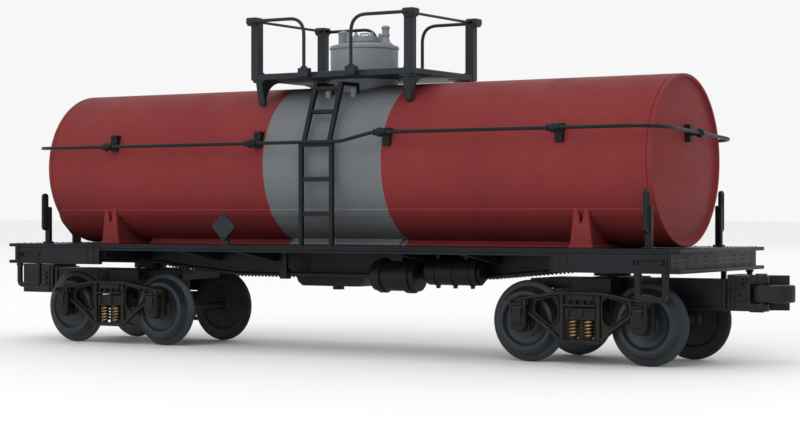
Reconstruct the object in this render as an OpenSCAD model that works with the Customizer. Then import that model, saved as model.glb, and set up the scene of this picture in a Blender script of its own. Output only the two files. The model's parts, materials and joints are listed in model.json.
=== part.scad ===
// Model railway tank car, 1:48, with swivelling trucks, turning wheels and opening couplers.
// +X is the front end, +Z is up, and z = 0 is the lowest point of the wheel flanges.

/* [Tank] */
// Outside radius of the tank barrel
tank_r = 23.1; // [19:0.1:28]
// Length of the tank over its end rims
tank_len = 202.6; // [168:0.1:245]
// Depth of the raised rim around each tank head
rim_depth = 1.6; // [1:0.1:2.4]
// Width of the raised rim around each tank head
rim_width = 1.5; // [1:0.1:3]
// Rise of the domed head plate at its centre
head_rise = 0.9; // [0.4:0.1:1.5]
// Height of the lap seam strap above the barrel
strap_rise = 0.25; // [0.15:0.05:0.4]
// Width of the lap seam strap
strap_w = 2.8; // [2:0.1:4]
// Angle of the lap seam below the tank's widest line
strap_angle = 37; // [30:1:42]
// Half length of the grey painted band
band_half = 20; // [14:0.5:26]

/* [Saddles] */
// Distance of the saddle's outer face from the centre line
saddle_y = 19.5; // [16:0.1:21]
// Length of a saddle at its foot
saddle_foot = 6.6; // [5.5:0.1:8]
// Length of a saddle at its top
saddle_top = 4.2; // [3:0.1:5]
// Half spacing of the rails along the tank bottom
base_rail_y = 9.2; // [7:0.1:12]

/* [Dome] */
// Radius of the dome
dome_r = 9.9; // [9:0.1:11]
// Height of the dome's rim above the top of the tank
dome_h = 11.2; // [8:0.1:14]
// Rise of the dome's crown above its rim
crown_rise = 1.8; // [1:0.1:2.5]
// Radius of the hatch cover
cover_r = 5.3; // [4.5:0.1:5.5]
// Radius of the circle on which the two dome fittings stand
fitting_x = 7.3; // [7.2:0.1:7.6]

/* [Platform] */
// Length of the dome platform
platform_len = 54.4; // [45:0.1:66]
// Width of the dome platform
platform_w = 37; // [34:0.1:42]
// Thickness of the dome platform
platform_t = 1.8; // [1.2:0.1:2.6]
// Gap between the tank's top and the platform's underside
platform_gap = 1.6; // [1.2:0.1:2.2]
// Width of a square corner post
post_w = 2.5; // [2:0.1:3.2]
// Height of a corner post below its cap
post_h = 14.5; // [11:0.1:18]
// Overhang of a post cap towards the outside
cap_over = 1.3; // [0.8:0.1:1.6]
// Height of a post cap
cap_h = 2; // [1.7:0.1:2.6]
// Diameter of the platform's wire rails
rail_d = 1.1; // [0.8:0.1:1.3]
// Half width of the gap in the side rails at the ladder
rail_gap = 8; // [7:0.1:11]
// Bend radius of the side rails
rail_bend = 4; // [3:0.1:5]

/* [Ladders] */
// Outside width of a ladder's lower part
ladder_w = 11.5; // [10:0.1:13]
// Outside width of a ladder's upper part
ladder_top_w = 9.8; // [8.4:0.1:9.9]
// Clearance between the tank's side and the lower ladder
ladder_gap = 1.6; // [1:0.1:2]
// Width of a ladder stile
stile_w = 1.25; // [1:0.05:1.6]
// Thickness of a ladder stile
stile_t = 1; // [0.8:0.05:1.2]
// Height of a ladder rung
rung_h = 1.3; // [0.9:0.1:1.8]
// Rungs on the lower, upright part
lower_rungs = 3; // [2:1:4]
// Height of the lower ladder above the tank's axis
ladder_bend = 6.1; // [3:0.1:8]

/* [Handrail] */
// Diameter of the handrail wire
wire_d = 1.1; // [0.8:0.1:1.3]
// Distance of the handrail wire from the tank's side
wire_out = 3.5; // [3.3:0.1:4.5]
// Distance of the handrail wire from the tank's end rim
wire_end = 3.7; // [3:0.1:4.5]
// Corner radius of the handrail
wire_corner = 8; // [6:0.5:9]
// Height of the lower leg of each handrail above the tank's axis
wire_low = 6.1; // [4:0.1:7]
// Height of the upper leg of each handrail above the tank's axis
wire_high = 8.2; // [7.1:0.1:9]
// Distance of the outer stanchions from the tank's ends
stanchion_inset = 26.3; // [20:0.1:32]
// Distance of the inner stanchions from the middle
stanchion_mid = 21.8; // [18:0.1:26]
// Distance from an inner stanchion to the foot of the wire's ramp
ramp_run = 13; // [8:0.5:16]
// Radius of a stanchion's ball
ball_r = 1.25; // [1:0.05:1.5]

/* [Frame] */
// Length of frame beyond each tank end
end_platform = 10.5; // [9:0.1:13]
// Width of frame beyond each side of the tank
side_margin = 6.2; // [5.8:0.1:7.4]
// Depth of the frame
frame_h = 6.1; // [5:0.1:7.5]
// Clearance of the frame above the wheel flanges
over_wheel = 2.6; // [2.3:0.1:3.5]
// Thickness of the frame's deck plate
deck_t = 1.2; // [1:0.1:1.6]
// Thickness of the side sill plates
sill_t = 1.4; // [1:0.1:1.8]
// Length of the deep plate at each end of a side sill
deep_len = 32.8; // [28:0.1:38]
// Depth of the shallow middle of a side sill below the deck
shallow_h = 0.7; // [0.5:0.1:1.2]
// Reach of the end sill flanges beyond their web
flange_out = 2.4; // [1.8:0.1:3]
// Thickness of the end sill plates
end_t = 1; // [0.8:0.1:1.4]
// Half width of the centre sill
centre_half = 6; // [5:0.1:7]
// Depth of the centre sill at its middle, below the frame
belly = 3.2; // [2.6:0.1:3.4]
// Width that the centre sill's bottom flange stands out
belly_flange = 1; // [0.6:0.1:1.4]

/* [Frame fittings] */
// Length of a stirrup step
step_len = 9; // [7.5:0.1:11]
// Drop of a stirrup step below the frame
step_drop = 7.3; // [6:0.1:7.5]
// Thickness of the stirrup bars
step_t = 1.3; // [1:0.1:1.6]
// Height of a corner post above the frame
grab_h = 11.2; // [9:0.1:13]
// Height of a corner ring's top above the frame
ring_top = 15.4; // [13.5:0.1:17]
// Height of a corner ring's lower end above the frame
ring_low = 4; // [3:0.1:5]
// Diagonal of the diamond placard board
placard_d = 8.2; // [6.5:0.1:9.5]
// Distance of the placard boards from the middle
placard_x = 30; // [26:0.5:36]
// Radius of the brake cylinder
brake_r = 4.3; // [3.6:0.1:4.6]
// Distance of the brake cylinder from the middle
cylinder_x = 12; // [8:0.5:14]
// Length of the brake cylinder
cylinder_len = 14; // [11:0.5:14]
// Distance of the air reservoir from the middle
reservoir_x = 28; // [28:0.5:29]
// Length of the air reservoir
reservoir_len = 18; // [12:0.5:18]
// Radius of the air reservoir
reservoir_r = 3.7; // [3:0.1:4]
// Half length of the sump under the belly
sump_half = 12; // [8:0.5:14]
// Distance of the sump behind the middle
sump_x = 9; // [4:0.5:10]
// Radius of the hand brake wheel
hand_wheel_r = 5.8; // [4.5:0.1:6.5]

/* [Trucks] */
// Distance of a truck's centre from the frame's end
truck_inset = 32.2; // [31:0.1:34]
// Half of a truck's wheelbase
half_base = 17.45; // [16.8:0.05:20]
// Radius of the centre plate
plate_r = 5; // [4:0.1:5.5]
// Radius of the kingpin
kingpin_r = 1.5; // [1.2:0.05:1.8]
// Gap between a truck's top and its centre plate
swivel_gap = 0.3; // [0.2:0.05:0.5]
// Height of a side frame's crown above the axles
crown_z = 8.7; // [8:0.1:9.2]
// Depth of a side frame's spring plank below the axles
plank_z = 5.3; // [4.8:0.1:6]
// Thickness of a side frame's web
web_t = 1.2; // [1:0.1:1.4]
// Thickness of a side frame over its ribs
rib_t = 2.2; // [1.8:0.1:2.6]
// Reach of a journal box beyond the side frame's inner face
journal_out = 4; // [3.2:0.1:4.6]
// Radius of a bolster spring
spring_r = 1.5; // [1.2:0.05:1.7]

/* [Wheels] */
// Radius over the wheel flanges
flange_r = 11; // [10.4:0.1:13.2]
// Radius of the tread beside the flange
tread_in = 9; // [8.6:0.05:9.4]
// Radius of the tread at the outer face
tread_out = 8.1; // [7.9:0.05:8.5]
// Distance between the backs of a pair of wheels
back_gap = 28; // [26:0.1:30]
// Width of a wheel
wheel_w = 3.8; // [3.4:0.1:4.4]
// Radius of an axle
axle_r = 1; // [0.8:0.05:1.2]
// Gap between a wheel's face and the side frame
frame_gap = 0.6; // [0.4:0.05:0.9]

/* [Couplers] */
// Reach of the closed knuckle from the truck's centre
coupler_reach = 51.9; // [50:0.1:55]
// Height of the coupler head
head_h = 9.1; // [8:0.1:9.6]
// Half width of the coupler's shank
shank_half = 5; // [4:0.1:5.6]
// Radius of the knuckle pin
pin_r = 0.75; // [0.6:0.05:0.9]
// Distance of the knuckle pin behind the knuckle's face
pin_back = 8.1; // [7.6:0.1:8.6]
// Distance of the knuckle pin from the coupler's centre line
pin_side = 3.6; // [3.2:0.1:4]

/* [Hidden] */
$fn = 96;

// Paint and metal colours
red = "#7f3438";
grey = "#6d7378";
slate = "#2c3236";
black = "#1c2124";
soot = "#2b2724";
steel = "#3a4044";
brass = "#8f7a4a";

// Clearances
eps = 0.01;
seat = 0.02;       // between curved faces that rest on each other
run = 0.05;        // radial play of a pin or axle in its bore
piece_gap = 0.3;   // between pieces that only pass each other

// Heights
axle_z = flange_r;
frame_bot = 2 * flange_r + over_wheel;
frame_top = frame_bot + frame_h;
deck_bot = frame_top - deck_t;
tank_z = frame_top + tank_r + 0.1;
platform_z = tank_z + tank_r + platform_gap;
platform_top = platform_z + platform_t;

// Lengths and widths
tank_half = tank_len / 2;
barrel_half = tank_half - rim_depth;
frame_half = tank_half + end_platform;
frame_side = tank_r + side_margin;
web_x = frame_half - flange_out;
truck_x = frame_half - truck_inset;
platform_half = platform_len / 2;
platform_side = platform_w / 2;

// Ladder places
ladder_y = tank_r + ladder_gap + stile_t;
ladder_bend_z = tank_z + ladder_bend;
ladder_top_y = platform_side + 0.7;
ladder_top_z = platform_z - 1.9;
lean_y = ladder_y - 0.15;
ladder_lean = atan((lean_y - ladder_top_y) / (ladder_top_z + 0.5 - ladder_bend_z));
lean_len = (ladder_top_z - ladder_bend_z) / cos(ladder_lean);
hook_y = 10.4;
hook_w = 1;

// Truck heights and places
wheel_face = back_gap / 2 + wheel_w;
side_y = wheel_face + frame_gap;
truck_top = frame_bot - 1.6 - swivel_gap;
coupler_z = axle_z + 3.6;
knuckle_z = coupler_z + head_h / 2;
knuckle_h = 4.5;
lug_h = (head_h - knuckle_h) / 2 - piece_gap;
pin_x = coupler_reach - pin_back;

// Distance of the tank's surface from the centre line at a height
function tank_side_at(z) = sqrt(tank_r * tank_r - pow(z - tank_z, 2));

// ---- small helpers ----

module both_ends() {
    children();
    mirror([1, 0, 0]) children();
}

module both_sides() {
    children();
    mirror([0, 1, 0]) children();
}

// The same piece at the front left and the rear right corner
module turned() {
    children();
    rotate([0, 0, 180]) children();
}

module box(x0, x1, y0, y1, z0, z1) {
    translate([x0, y0, z0]) cube([x1 - x0, y1 - y0, z1 - z0]);
}

// A cylinder along X between two stations
module rod_x(r, x0, x1) {
    translate([x0, 0, 0]) rotate([0, 90, 0]) cylinder(r = r, h = x1 - x0);
}

// A cylinder along Y between two stations
module rod_y(r, y0, y1) {
    translate([0, y1, 0]) rotate([90, 0, 0]) cylinder(r = r, h = y1 - y0);
}

// A flat outline in the XZ plane, thickened from y0 towards +Y
module slab_xz(points, y0, y1) {
    translate([0, y1, 0]) rotate([90, 0, 0]) linear_extrude(y1 - y0) polygon(points);
}

// A flat outline in the YZ plane, thickened from x0 towards +X
module slab_yz(points, x0, x1) {
    translate([x0, 0, 0]) rotate([90, 0, 90]) linear_extrude(x1 - x0) polygon(points);
}

// The tank's outside, grown by a gap, for cutting what sits on it
module tank_cut(gap) {
    translate([0, 0, tank_z]) rod_x(tank_r + gap, -tank_half - 20, tank_half + 20);
}

// ---- tank ----

// A strip of the barrel's surface between two angles below the side line
module seam_strap() {
    half = strap_w / 2 / tank_r * 180 / PI;
    intersection() {
        difference() {
            rod_x(tank_r + strap_rise, -barrel_half, barrel_half);
            rod_x(tank_r - 0.5, -barrel_half - 1, barrel_half + 1);
        }
        slab_yz([[0, 0],
            [-2 * tank_r * cos(strap_angle - half), -2 * tank_r * sin(strap_angle - half)],
            [-2 * tank_r * cos(strap_angle + half), -2 * tank_r * sin(strap_angle + half)]],
            -barrel_half, barrel_half);
    }
}

module barrel_course(x0, x1) {
    translate([0, 0, tank_z]) intersection() {
        union() {
            rod_x(tank_r, -barrel_half, barrel_half);
            both_sides() seam_strap();
        }
        box(x0, x1, -2 * tank_r, 2 * tank_r, -2 * tank_r, 2 * tank_r);
    }
}

module tank_barrel() {
    color(red) barrel_course(-barrel_half, -band_half);
    color(grey) barrel_course(-band_half, band_half);
    color(red) barrel_course(band_half, barrel_half);
}

// Domed plate inside a raised rim, turned about the tank's axis
module tank_head() {
    lip = tank_r - rim_width;
    floor_h = 0.4;
    crown = [for (i = [0:8]) [lip * (1 - i / 8),
        floor_h + head_rise * (1 - pow(1 - i / 8, 2))]];
    translate([barrel_half, 0, tank_z]) rotate([0, 90, 0]) rotate_extrude()
        polygon(concat([[0, 0], [tank_r, 0], [tank_r, rim_depth - 0.4],
            [tank_r - 0.4, rim_depth], [lip + 0.3, rim_depth], [lip, rim_depth - 0.3]], crown));
}

module tank_head_front() {
    color(red) tank_head();
}

module tank_head_rear() {
    color(red) mirror([1, 0, 0]) tank_head();
}

// Pedestals that carry the tank over the trucks, with ribs at both outer faces
module tank_saddles() {
    foot = saddle_foot / 2;
    top = saddle_top / 2;
    rib = 1.6;
    z0 = frame_top + seat;
    z1 = tank_z;
    color(red) both_ends() translate([truck_x, 0, 0]) difference() {
        union() {
            both_sides() slab_xz([[-foot, z0], [foot, z0], [top, z1], [-top, z1]],
                saddle_y - rib, saddle_y);
            box(-top, top, -saddle_y + rib / 2, saddle_y - rib / 2, z0, z1);
        }
        tank_cut(strap_rise + seat);
    }
}

// Two angle rails along the tank's underside, between the saddles
module tank_base_rails() {
    reach = truck_x - saddle_foot / 2 - 4;
    z0 = frame_top + seat;
    color(red) both_sides() difference() {
        slab_yz([[base_rail_y - 1.5, z0], [base_rail_y + 1.4, z0], [base_rail_y + 1.4, z0 + 1.1],
            [base_rail_y, z0 + 2.5], [base_rail_y - 1.5, z0 + 2.5]], -reach, reach);
        tank_cut(seat);
    }
}

// ---- dome ----

dome_rim_z = tank_z + tank_r + dome_h;

// Height of the dome's crown at a distance from its axis
function crown_at(r) = dome_rim_z + crown_rise * (1 - pow(r / dome_r, 2));

module dome() {
    crown = [for (i = [0:8]) [dome_r * (1 - i / 8), crown_at(dome_r * (1 - i / 8))]];
    color(grey) difference() {
        union() {
            rotate_extrude() polygon(concat([[0, tank_z], [dome_r, tank_z]], crown));
            translate([0, 0, dome_rim_z - 1.6]) cylinder(r = dome_r + 0.25, h = 0.9);
        }
        tank_cut(seat);
    }
}

// Hatch cover with lugs round its edge
module dome_cover() {
    z0 = crown_at(0) + seat;
    color(grey) {
        difference() {
            translate([0, 0, z0 - crown_rise]) cylinder(r = cover_r, h = 1.5 + crown_rise);
            translate([0, 0, seat]) rotate_extrude() polygon(concat([[0, 0], [2 * dome_r, 0]],
                [for (i = [0:8]) [dome_r * (1 - i / 8), crown_at(dome_r * (1 - i / 8))]]));
        }
        for (i = [0:5]) rotate([0, 0, 30 + 60 * i]) translate([cover_r - 1.1, 0, z0 + 1.4])
            cylinder(r = 0.6, h = 0.8);
        translate([0, 0, z0 + 1.4]) cylinder(r = 1.4, h = 0.6);
    }
}

// Safety valve in front of the cover and a plain boss behind it
module dome_fittings() {
    color(grey) {
        difference() {
            union() {
                translate([fitting_x, 0, dome_rim_z]) cylinder(r = 1.55, h = 2.4);
                translate([fitting_x, 0, dome_rim_z + 1]) cylinder(r = 1.05, h = 5.2);
                translate([-fitting_x, 0, dome_rim_z]) cylinder(r = 1.55, h = 2);
                translate([-fitting_x, 0, dome_rim_z + 1]) cylinder(r = 1.1, h = 4.3);
            }
            translate([0, 0, seat]) rotate_extrude() polygon(concat([[0, 0], [2 * dome_r, 0]],
                [for (i = [0:8]) [dome_r * (1 - i / 8), crown_at(dome_r * (1 - i / 8))]]));
        }
    }
}

// ---- platform ----

module platform_deck() {
    color(slate) difference() {
        box(-platform_half, platform_half, -platform_side, platform_side,
            platform_z, platform_top);
        translate([0, 0, platform_z - 1]) cylinder(r = dome_r + 0.7, h = platform_t + 2);
    }
}

// Pointed brackets that rest on the tank's shoulders
module platform_brackets() {
    tip_z = platform_z - 7.3;
    color(slate) both_ends() both_sides() difference() {
        slab_yz([[platform_side, platform_z], [platform_side - 1.6, tip_z],
            [platform_side - 2.7, tip_z], [platform_side - 11, platform_z]],
            platform_half - 3.2, platform_half - 1.2);
        tank_cut(seat);
    }
}

module platform_posts() {
    color(slate) both_ends() both_sides() {
        box(platform_half - post_w, platform_half, platform_side - post_w, platform_side,
            platform_top, platform_top + post_h + eps);
        box(platform_half - post_w, platform_half + cap_over,
            platform_side - post_w, platform_side + cap_over,
            platform_top + post_h, platform_top + post_h + cap_h);
    }
}

// Wire rails between the post caps, with a way through at each ladder
module platform_rails() {
    rail_r = rail_d / 2;
    rail_z = platform_top + post_h + cap_h / 2 - 0.2;
    side_y = platform_side + rail_r + 0.6;
    end_x = platform_half - post_w / 2;
    boss = 1.7;
    color(slate) {
        both_ends() translate([end_x, 0, rail_z])
            rod_y(rail_r, -platform_side + post_w, platform_side - post_w);
        both_ends() both_sides() {
            translate([0, side_y, rail_z])
                rod_x(rail_r, rail_gap + rail_bend, platform_half - post_w);
            translate([rail_gap + rail_bend, side_y, rail_z - rail_bend])
                rotate([90, 0, 0]) rotate([0, 0, 90]) rotate_extrude(angle = 90)
                translate([rail_bend, 0]) circle(r = rail_r);
            translate([rail_gap, side_y, platform_top])
                cylinder(r = rail_r, h = rail_z - rail_bend - platform_top);
            box(rail_gap - boss, rail_gap + boss, platform_side, side_y + rail_r + 0.4,
                platform_z + 0.3, platform_top + 1.1);
        }
    }
}

// ---- ladders ----

// Leaning stile on the +Y side, with its top bar hooked down to the tank
module upper_stile() {
    foot_z = ladder_bend_z - 0.8;
    bar = 0.5;
    difference() {
        slab_yz([[lean_y, foot_z], [lean_y, ladder_bend_z], [ladder_top_y, ladder_top_z + bar],
            [hook_y, ladder_top_z + bar], [hook_y, ladder_top_z - 5],
            [hook_y + hook_w, ladder_top_z - 5], [hook_y + hook_w, ladder_top_z - bar],
            [ladder_top_y - stile_t, ladder_top_z - bar], [lean_y - stile_t, ladder_bend_z],
            [lean_y - stile_t, foot_z]], ladder_top_w / 2 - stile_w, ladder_top_w / 2);
        tank_cut(seat);
    }
}

// Ladder on the +Y side: upright below, leaning in to the platform above
module ladder() {
    low_half = ladder_w / 2;
    top_half = ladder_top_w / 2;
    pitch = (ladder_bend_z - frame_top) / lower_rungs;
    inset = 0.2;
    color(black) {
        both_ends() {
            box(low_half - stile_w, low_half, ladder_y - stile_t, ladder_y,
                frame_top, ladder_bend_z);
            upper_stile();
        }
        for (i = [1:lower_rungs])
            box(-low_half + inset, low_half - inset, ladder_y - stile_t - inset,
                ladder_y - inset, frame_top + pitch * i - rung_h - 0.1,
                frame_top + pitch * i - 0.1);
        for (f = [0.56, 0.96])
            translate([0, lean_y, ladder_bend_z]) rotate([ladder_lean, 0, 0])
                box(-top_half + inset, top_half - inset, -stile_t - inset, -inset,
                    lean_len * f - rung_h * 0.8, lean_len * f);
    }
}

module ladder_near() {
    mirror([0, 1, 0]) ladder();
}

module ladder_far() {
    ladder();
}

// Small blocks on the tank that hold up the ladders' top bars
module ladder_lugs() {
    lug_x = ladder_top_w / 2 - stile_w / 2;
    color(grey) both_ends() both_sides() difference() {
        box(lug_x - 0.8, lug_x + 0.8, hook_y + hook_w + 0.3, hook_y + hook_w + 1.6,
            tank_z, ladder_top_z - 0.5 - seat);
        tank_cut(seat);
    }
}

// ---- handrail ----

rail_y = tank_r + wire_out;
rail_x = tank_half + wire_end;
plate_z = tank_z + (wire_low + wire_high) / 2;
plate_t = 1.6;

// A straight wire between two points
module wire(a, b) {
    d = b - a;
    translate(a) rotate([0, acos(d[2] / norm(d)), atan2(d[1], d[0])])
        cylinder(d = wire_d, h = norm(d));
}

// One U of wire round the front end: high leg on the near side, low leg on the far side,
// rising at its far end to meet the high leg of the other U
module handrail_u() {
    bend_x = rail_x - wire_corner;
    bend_y = rail_y - wire_corner;
    high = tank_z + wire_high;
    low = tank_z + wire_low;
    ramp_x = -stanchion_mid + ramp_run;
    meet_x = -stanchion_mid + ball_r + 1;
    color(black) {
        wire([stanchion_mid + seat, -rail_y, high], [bend_x, -rail_y, high]);
        translate([bend_x, -bend_y, high]) rotate([0, 0, -90]) rotate_extrude(angle = 90)
            translate([wire_corner, 0]) circle(d = wire_d);
        wire([rail_x, -bend_y, high], [rail_x, bend_y, low]);
        translate([rail_x, -bend_y, high]) sphere(d = wire_d + 4 * seat);
        translate([rail_x, bend_y, low]) sphere(d = wire_d + 4 * seat);
        translate([bend_x, bend_y, low]) rotate_extrude(angle = 90)
            translate([wire_corner, 0]) circle(d = wire_d);
        wire([bend_x, rail_y, low], [ramp_x, rail_y, low]);
        translate([ramp_x, rail_y, low]) sphere(d = wire_d + 4 * seat);
        wire([ramp_x, rail_y, low], [meet_x, rail_y, high]);
        translate([meet_x, rail_y, high]) sphere(d = wire_d + 4 * seat);
        wire([meet_x, rail_y, high], [-stanchion_mid + seat, rail_y, high]);
    }
}

module handrail_front() {
    handrail_u();
}

module handrail_rear() {
    rotate([0, 0, 180]) handrail_u();
}

// A plate on the tank, drawn at the origin's height with +X outwards, and a stem out to the
// ball that holds the wire, which passes at a slope
module stanchion(face_x, reach, ball_z, slope) {
    difference() {
        union() {
            box(face_x, face_x + plate_t, -1.1, 1.1, -2.3, 2.3);
            translate([0, 0, ball_z]) rod_x(0.65, face_x + eps, reach);
            translate([reach, 0, ball_z]) sphere(r = ball_r);
        }
        translate([reach, 0, ball_z]) rotate([-slope, 0, 0]) rod_y(wire_d / 2 + seat, -3, 3);
    }
}

// Stanchion on the tank's near side, its plate cut to the barrel
module side_stanchion(x, high) {
    ball_z = (high ? 1 : -1) * (wire_high - wire_low) / 2;
    difference() {
        translate([x, 0, plate_z]) rotate([0, 0, -90])
            stanchion(tank_side_at(plate_z + 2.3) - 0.4, rail_y, ball_z, 0);
        tank_cut(seat);
    }
}

module end_stanchion() {
    face_x = barrel_half + 0.4 + head_rise + seat;
    slope = atan((wire_high - wire_low) / 2 / (rail_y - wire_corner));
    translate([0, 0, plate_z]) stanchion(face_x, rail_x, 0, slope);
}

module handrail_stanchions() {
    out_x = tank_half - stanchion_inset;
    color(black) turned() {
        side_stanchion(out_x, true);
        side_stanchion(stanchion_mid, true);
        side_stanchion(-stanchion_mid, false);
        side_stanchion(-out_x, false);
        end_stanchion();
    }
}

// ---- frame ----

module frame_deck() {
    inner = web_x - end_t;
    color(black) difference() {
        box(-inner, inner, -frame_side, frame_side, deck_bot, frame_top);
        both_ends() translate([truck_x, 0, deck_bot - 1])
            cylinder(r = kingpin_r + run, h = deck_t + 2);
    }
}

// Side sill on the near side: shallow rail with deep pocketed plates at both ends
module side_sill() {
    inner = web_x - end_t;
    deep_x = inner - deep_len;
    pocket_x = inner - 5;
    color(black) {
        box(-inner, inner, -frame_side, -frame_side + sill_t, deck_bot - shallow_h, deck_bot);
        both_ends() difference() {
            box(deep_x, inner, -frame_side, -frame_side + sill_t, frame_bot, deck_bot);
            box(pocket_x - 4.4, pocket_x + 4.4, -frame_side - 1, -frame_side + 0.5,
                frame_bot + 2, frame_bot + 3.4);
        }
    }
}

module side_sill_near() {
    side_sill();
}

module side_sill_far() {
    mirror([0, 1, 0]) side_sill();
}

// Deep box sill with a belly at the middle and a flange along its bottom edge
function belly_line(lift) = [[-web_x + end_t, frame_bot + lift], [-belly_x1, frame_bot + lift],
    [-belly_x1 + 6, frame_bot - 1 + lift], [-belly_x0, frame_bot - belly + lift],
    [belly_x0, frame_bot - belly + lift], [belly_x1 - 6, frame_bot - 1 + lift],
    [belly_x1, frame_bot + lift], [web_x - end_t, frame_bot + lift]];
belly_x0 = truck_x - half_base - flange_r - 11;
belly_x1 = truck_x - 9;

module centre_sill() {
    inner = web_x - end_t;
    flange_t = 0.8;
    color(black) difference() {
        union() {
            slab_xz(concat(belly_line(0), [[inner, deck_bot], [-inner, deck_bot]]),
                -centre_half, centre_half);
            slab_xz(concat(belly_line(0), [for (i = [7:-1:0]) belly_line(flange_t)[i]]),
                -centre_half - belly_flange, centre_half + belly_flange);
        }
        both_ends() translate([truck_x, 0, frame_bot - 1])
            cylinder(r = kingpin_r + seat, h = frame_h + 2);
    }
}

// Outward-facing channel across the end of the frame
module end_sill() {
    color(black) {
        box(web_x - end_t, web_x, -frame_side, frame_side, frame_bot, frame_top);
        box(web_x - eps, frame_half, -frame_side, frame_side, frame_top - end_t, frame_top);
        box(web_x - eps, frame_half, -frame_side, frame_side, frame_bot, frame_bot + end_t);
    }
}

module end_sill_front() {
    end_sill();
}

module end_sill_rear() {
    mirror([1, 0, 0]) end_sill();
}

// A beam between the centre sill and the side sill, deeper at its inner end
module cross_beam(x, half, depth_in, depth_out) {
    y0 = centre_half;
    y1 = frame_side - sill_t;
    y2 = centre_half + belly_flange;
    z_in = deck_bot - depth_in + 1.2;
    slab_yz([[y0, deck_bot], [y0, z_in], [y2, z_in], [y1, deck_bot - depth_out], [y1, deck_bot]],
        x - half, x + half);
}

module body_bolsters() {
    color(black) both_ends() both_sides()
        cross_beam(truck_x, 5, frame_h - deck_t, frame_h - deck_t - 2);
}

module cross_bearers() {
    first = (cylinder_x + cylinder_len + reservoir_x) / 2;
    color(black) both_ends() both_sides() for (x = [first, reservoir_x + reservoir_len + 2])
        cross_beam(x, 0.7, frame_h - deck_t, shallow_h);
}

// Round plates under the centre sill that the trucks turn against
module centre_plates() {
    color(black) both_ends() translate([truck_x, 0, truck_top + swivel_gap]) difference() {
        cylinder(r = plate_r, h = frame_bot - truck_top - swivel_gap);
        translate([0, 0, -1]) cylinder(r = kingpin_r + seat, h = 5);
    }
}

// Headed pins that hold the trucks on
module kingpins() {
    head_z = bolster_bot - piece_gap;
    color(steel) both_ends() translate([truck_x, 0, 0]) {
        translate([0, 0, head_z - 1]) cylinder(r = 2.6, h = 1);
        translate([0, 0, head_z - eps]) cylinder(r = kingpin_r, h = deck_bot - head_z);
    }
}

// ---- frame fittings ----

module stirrup_steps() {
    x1 = web_x - end_t;
    x0 = x1 - step_len;
    y0 = -frame_side;
    color(black) both_ends() both_sides() difference() {
        box(x0, x1, y0, y0 + 1, frame_bot - step_drop, frame_bot);
        box(x0 + step_t, x1 - step_t, y0 - 1, y0 + 2, frame_bot - step_drop + step_t,
            frame_bot + 1);
    }
}

// Upright with a slotted ring plate on its outer side, beside each tank end
module corner_posts() {
    post_y = tank_r + 0.4;
    inner_y = post_y + 0.6;
    outer_y = post_y + 2.7;
    round_r = (outer_y - inner_y) / 2 - eps;
    low_z = frame_top + ring_low + round_r;
    high_z = frame_top + ring_top - round_r;
    color(black) both_ends() both_sides() translate([tank_half - 0.5, 0, 0]) {
        box(-1, 1, post_y - 0.7, post_y + 0.7, frame_top, frame_top + grab_h);
        difference() {
            union() {
                slab_yz([[inner_y, low_z], [outer_y, low_z], [outer_y, high_z], [inner_y, high_z]],
                    -0.55, 0.55);
                for (z = [low_z, high_z])
                    translate([0, (inner_y + outer_y) / 2, z]) rod_x(round_r, -0.55, 0.55);
            }
            box(-1, 1, inner_y + 0.6, outer_y - 0.6, frame_top + grab_h + 0.2, high_z - 0.2);
        }
    }
}

// Blank diamond boards on short stems, one on each side of the frame
module placard_boards() {
    half = placard_d / 2;
    mid_z = frame_top + half + 1.2;
    y0 = -frame_side + 0.7;
    color(slate) turned() translate([-placard_x, 0, 0]) {
        slab_xz([[0, mid_z - half], [half, mid_z], [0, mid_z + half], [-half, mid_z]],
            y0, y0 + 0.9);
        box(-1.1, 1.1, y0 + 0.9 - eps, y0 + 1.7, frame_top, mid_z);
    }
}

// Sump under the belly of the frame, with the outlet cap below it
module bottom_outlet() {
    half = sump_half;
    z1 = frame_bot - belly;
    color(black) translate([-sump_x, 0, 0]) {
        slab_xz([[-half, z1], [-half + 0.6, z1 - 1.6], [-half + 2.2, z1 - 2.8],
            [half - 2.2, z1 - 2.8], [half - 0.6, z1 - 1.6], [half, z1]], -4.5, 4.5);
        translate([0, 0, z1 - 3.9]) cylinder(r = 1.7, h = 1.2);
    }
}

gear_y = -centre_half - belly_flange - 4.9;

gear_z = frame_bot - 2.3;
gland = 2.5;

module brake_cylinder() {
    z = gear_z;
    x0 = cylinder_x;
    x1 = cylinder_x + cylinder_len;
    mid = (x0 + x1) / 2;
    color(black) {
        translate([0, gear_y, z]) {
            rod_x(brake_r, x0, x1);
            rod_x(brake_r + 0.6, x0 + 1.6, x0 + 3.2);
            rod_x(brake_r + 0.6, x1 - 3.6, x1 - 1.6);
            rod_x(1.1, x0 - gland, x0);
        }
        box(mid - 2, mid + 2, gear_y - 1.2, gear_y + 1.2, z + brake_r - 0.6, deck_bot);
    }
}

module air_reservoir() {
    z = frame_bot - 1;
    x0 = reservoir_x;
    x1 = reservoir_x + reservoir_len;
    color(black) {
        translate([0, gear_y + 0.9, z]) {
            rod_x(reservoir_r, x0 + 1, x1 - 1);
            rod_x(reservoir_r - 1, x0, x1);
        }
        for (x = [x0 + 4, x1 - 5])
            box(x - 0.6, x + 0.6, gear_y - 0.4, gear_y + 2.2, z + reservoir_r - 0.5, deck_bot);
    }
}

// Push rod and bell crank between the brake cylinder and the centre sill
module brake_rod() {
    z = gear_z;
    crank_x = -19.8;
    color(black) {
        translate([0, gear_y, z]) rod_x(0.6, crank_x, cylinder_x - gland - seat);
        box(crank_x - 1.2, crank_x + 1.2, gear_y - 1.2, gear_y + 1.2, z - 1.5, z + 1.5);
        box(crank_x - 0.7, crank_x + 0.7, gear_y - 0.5, gear_y + 0.5, z + 1.4, deck_bot);
    }
}

brake_x = frame_half - 1.4;

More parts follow.
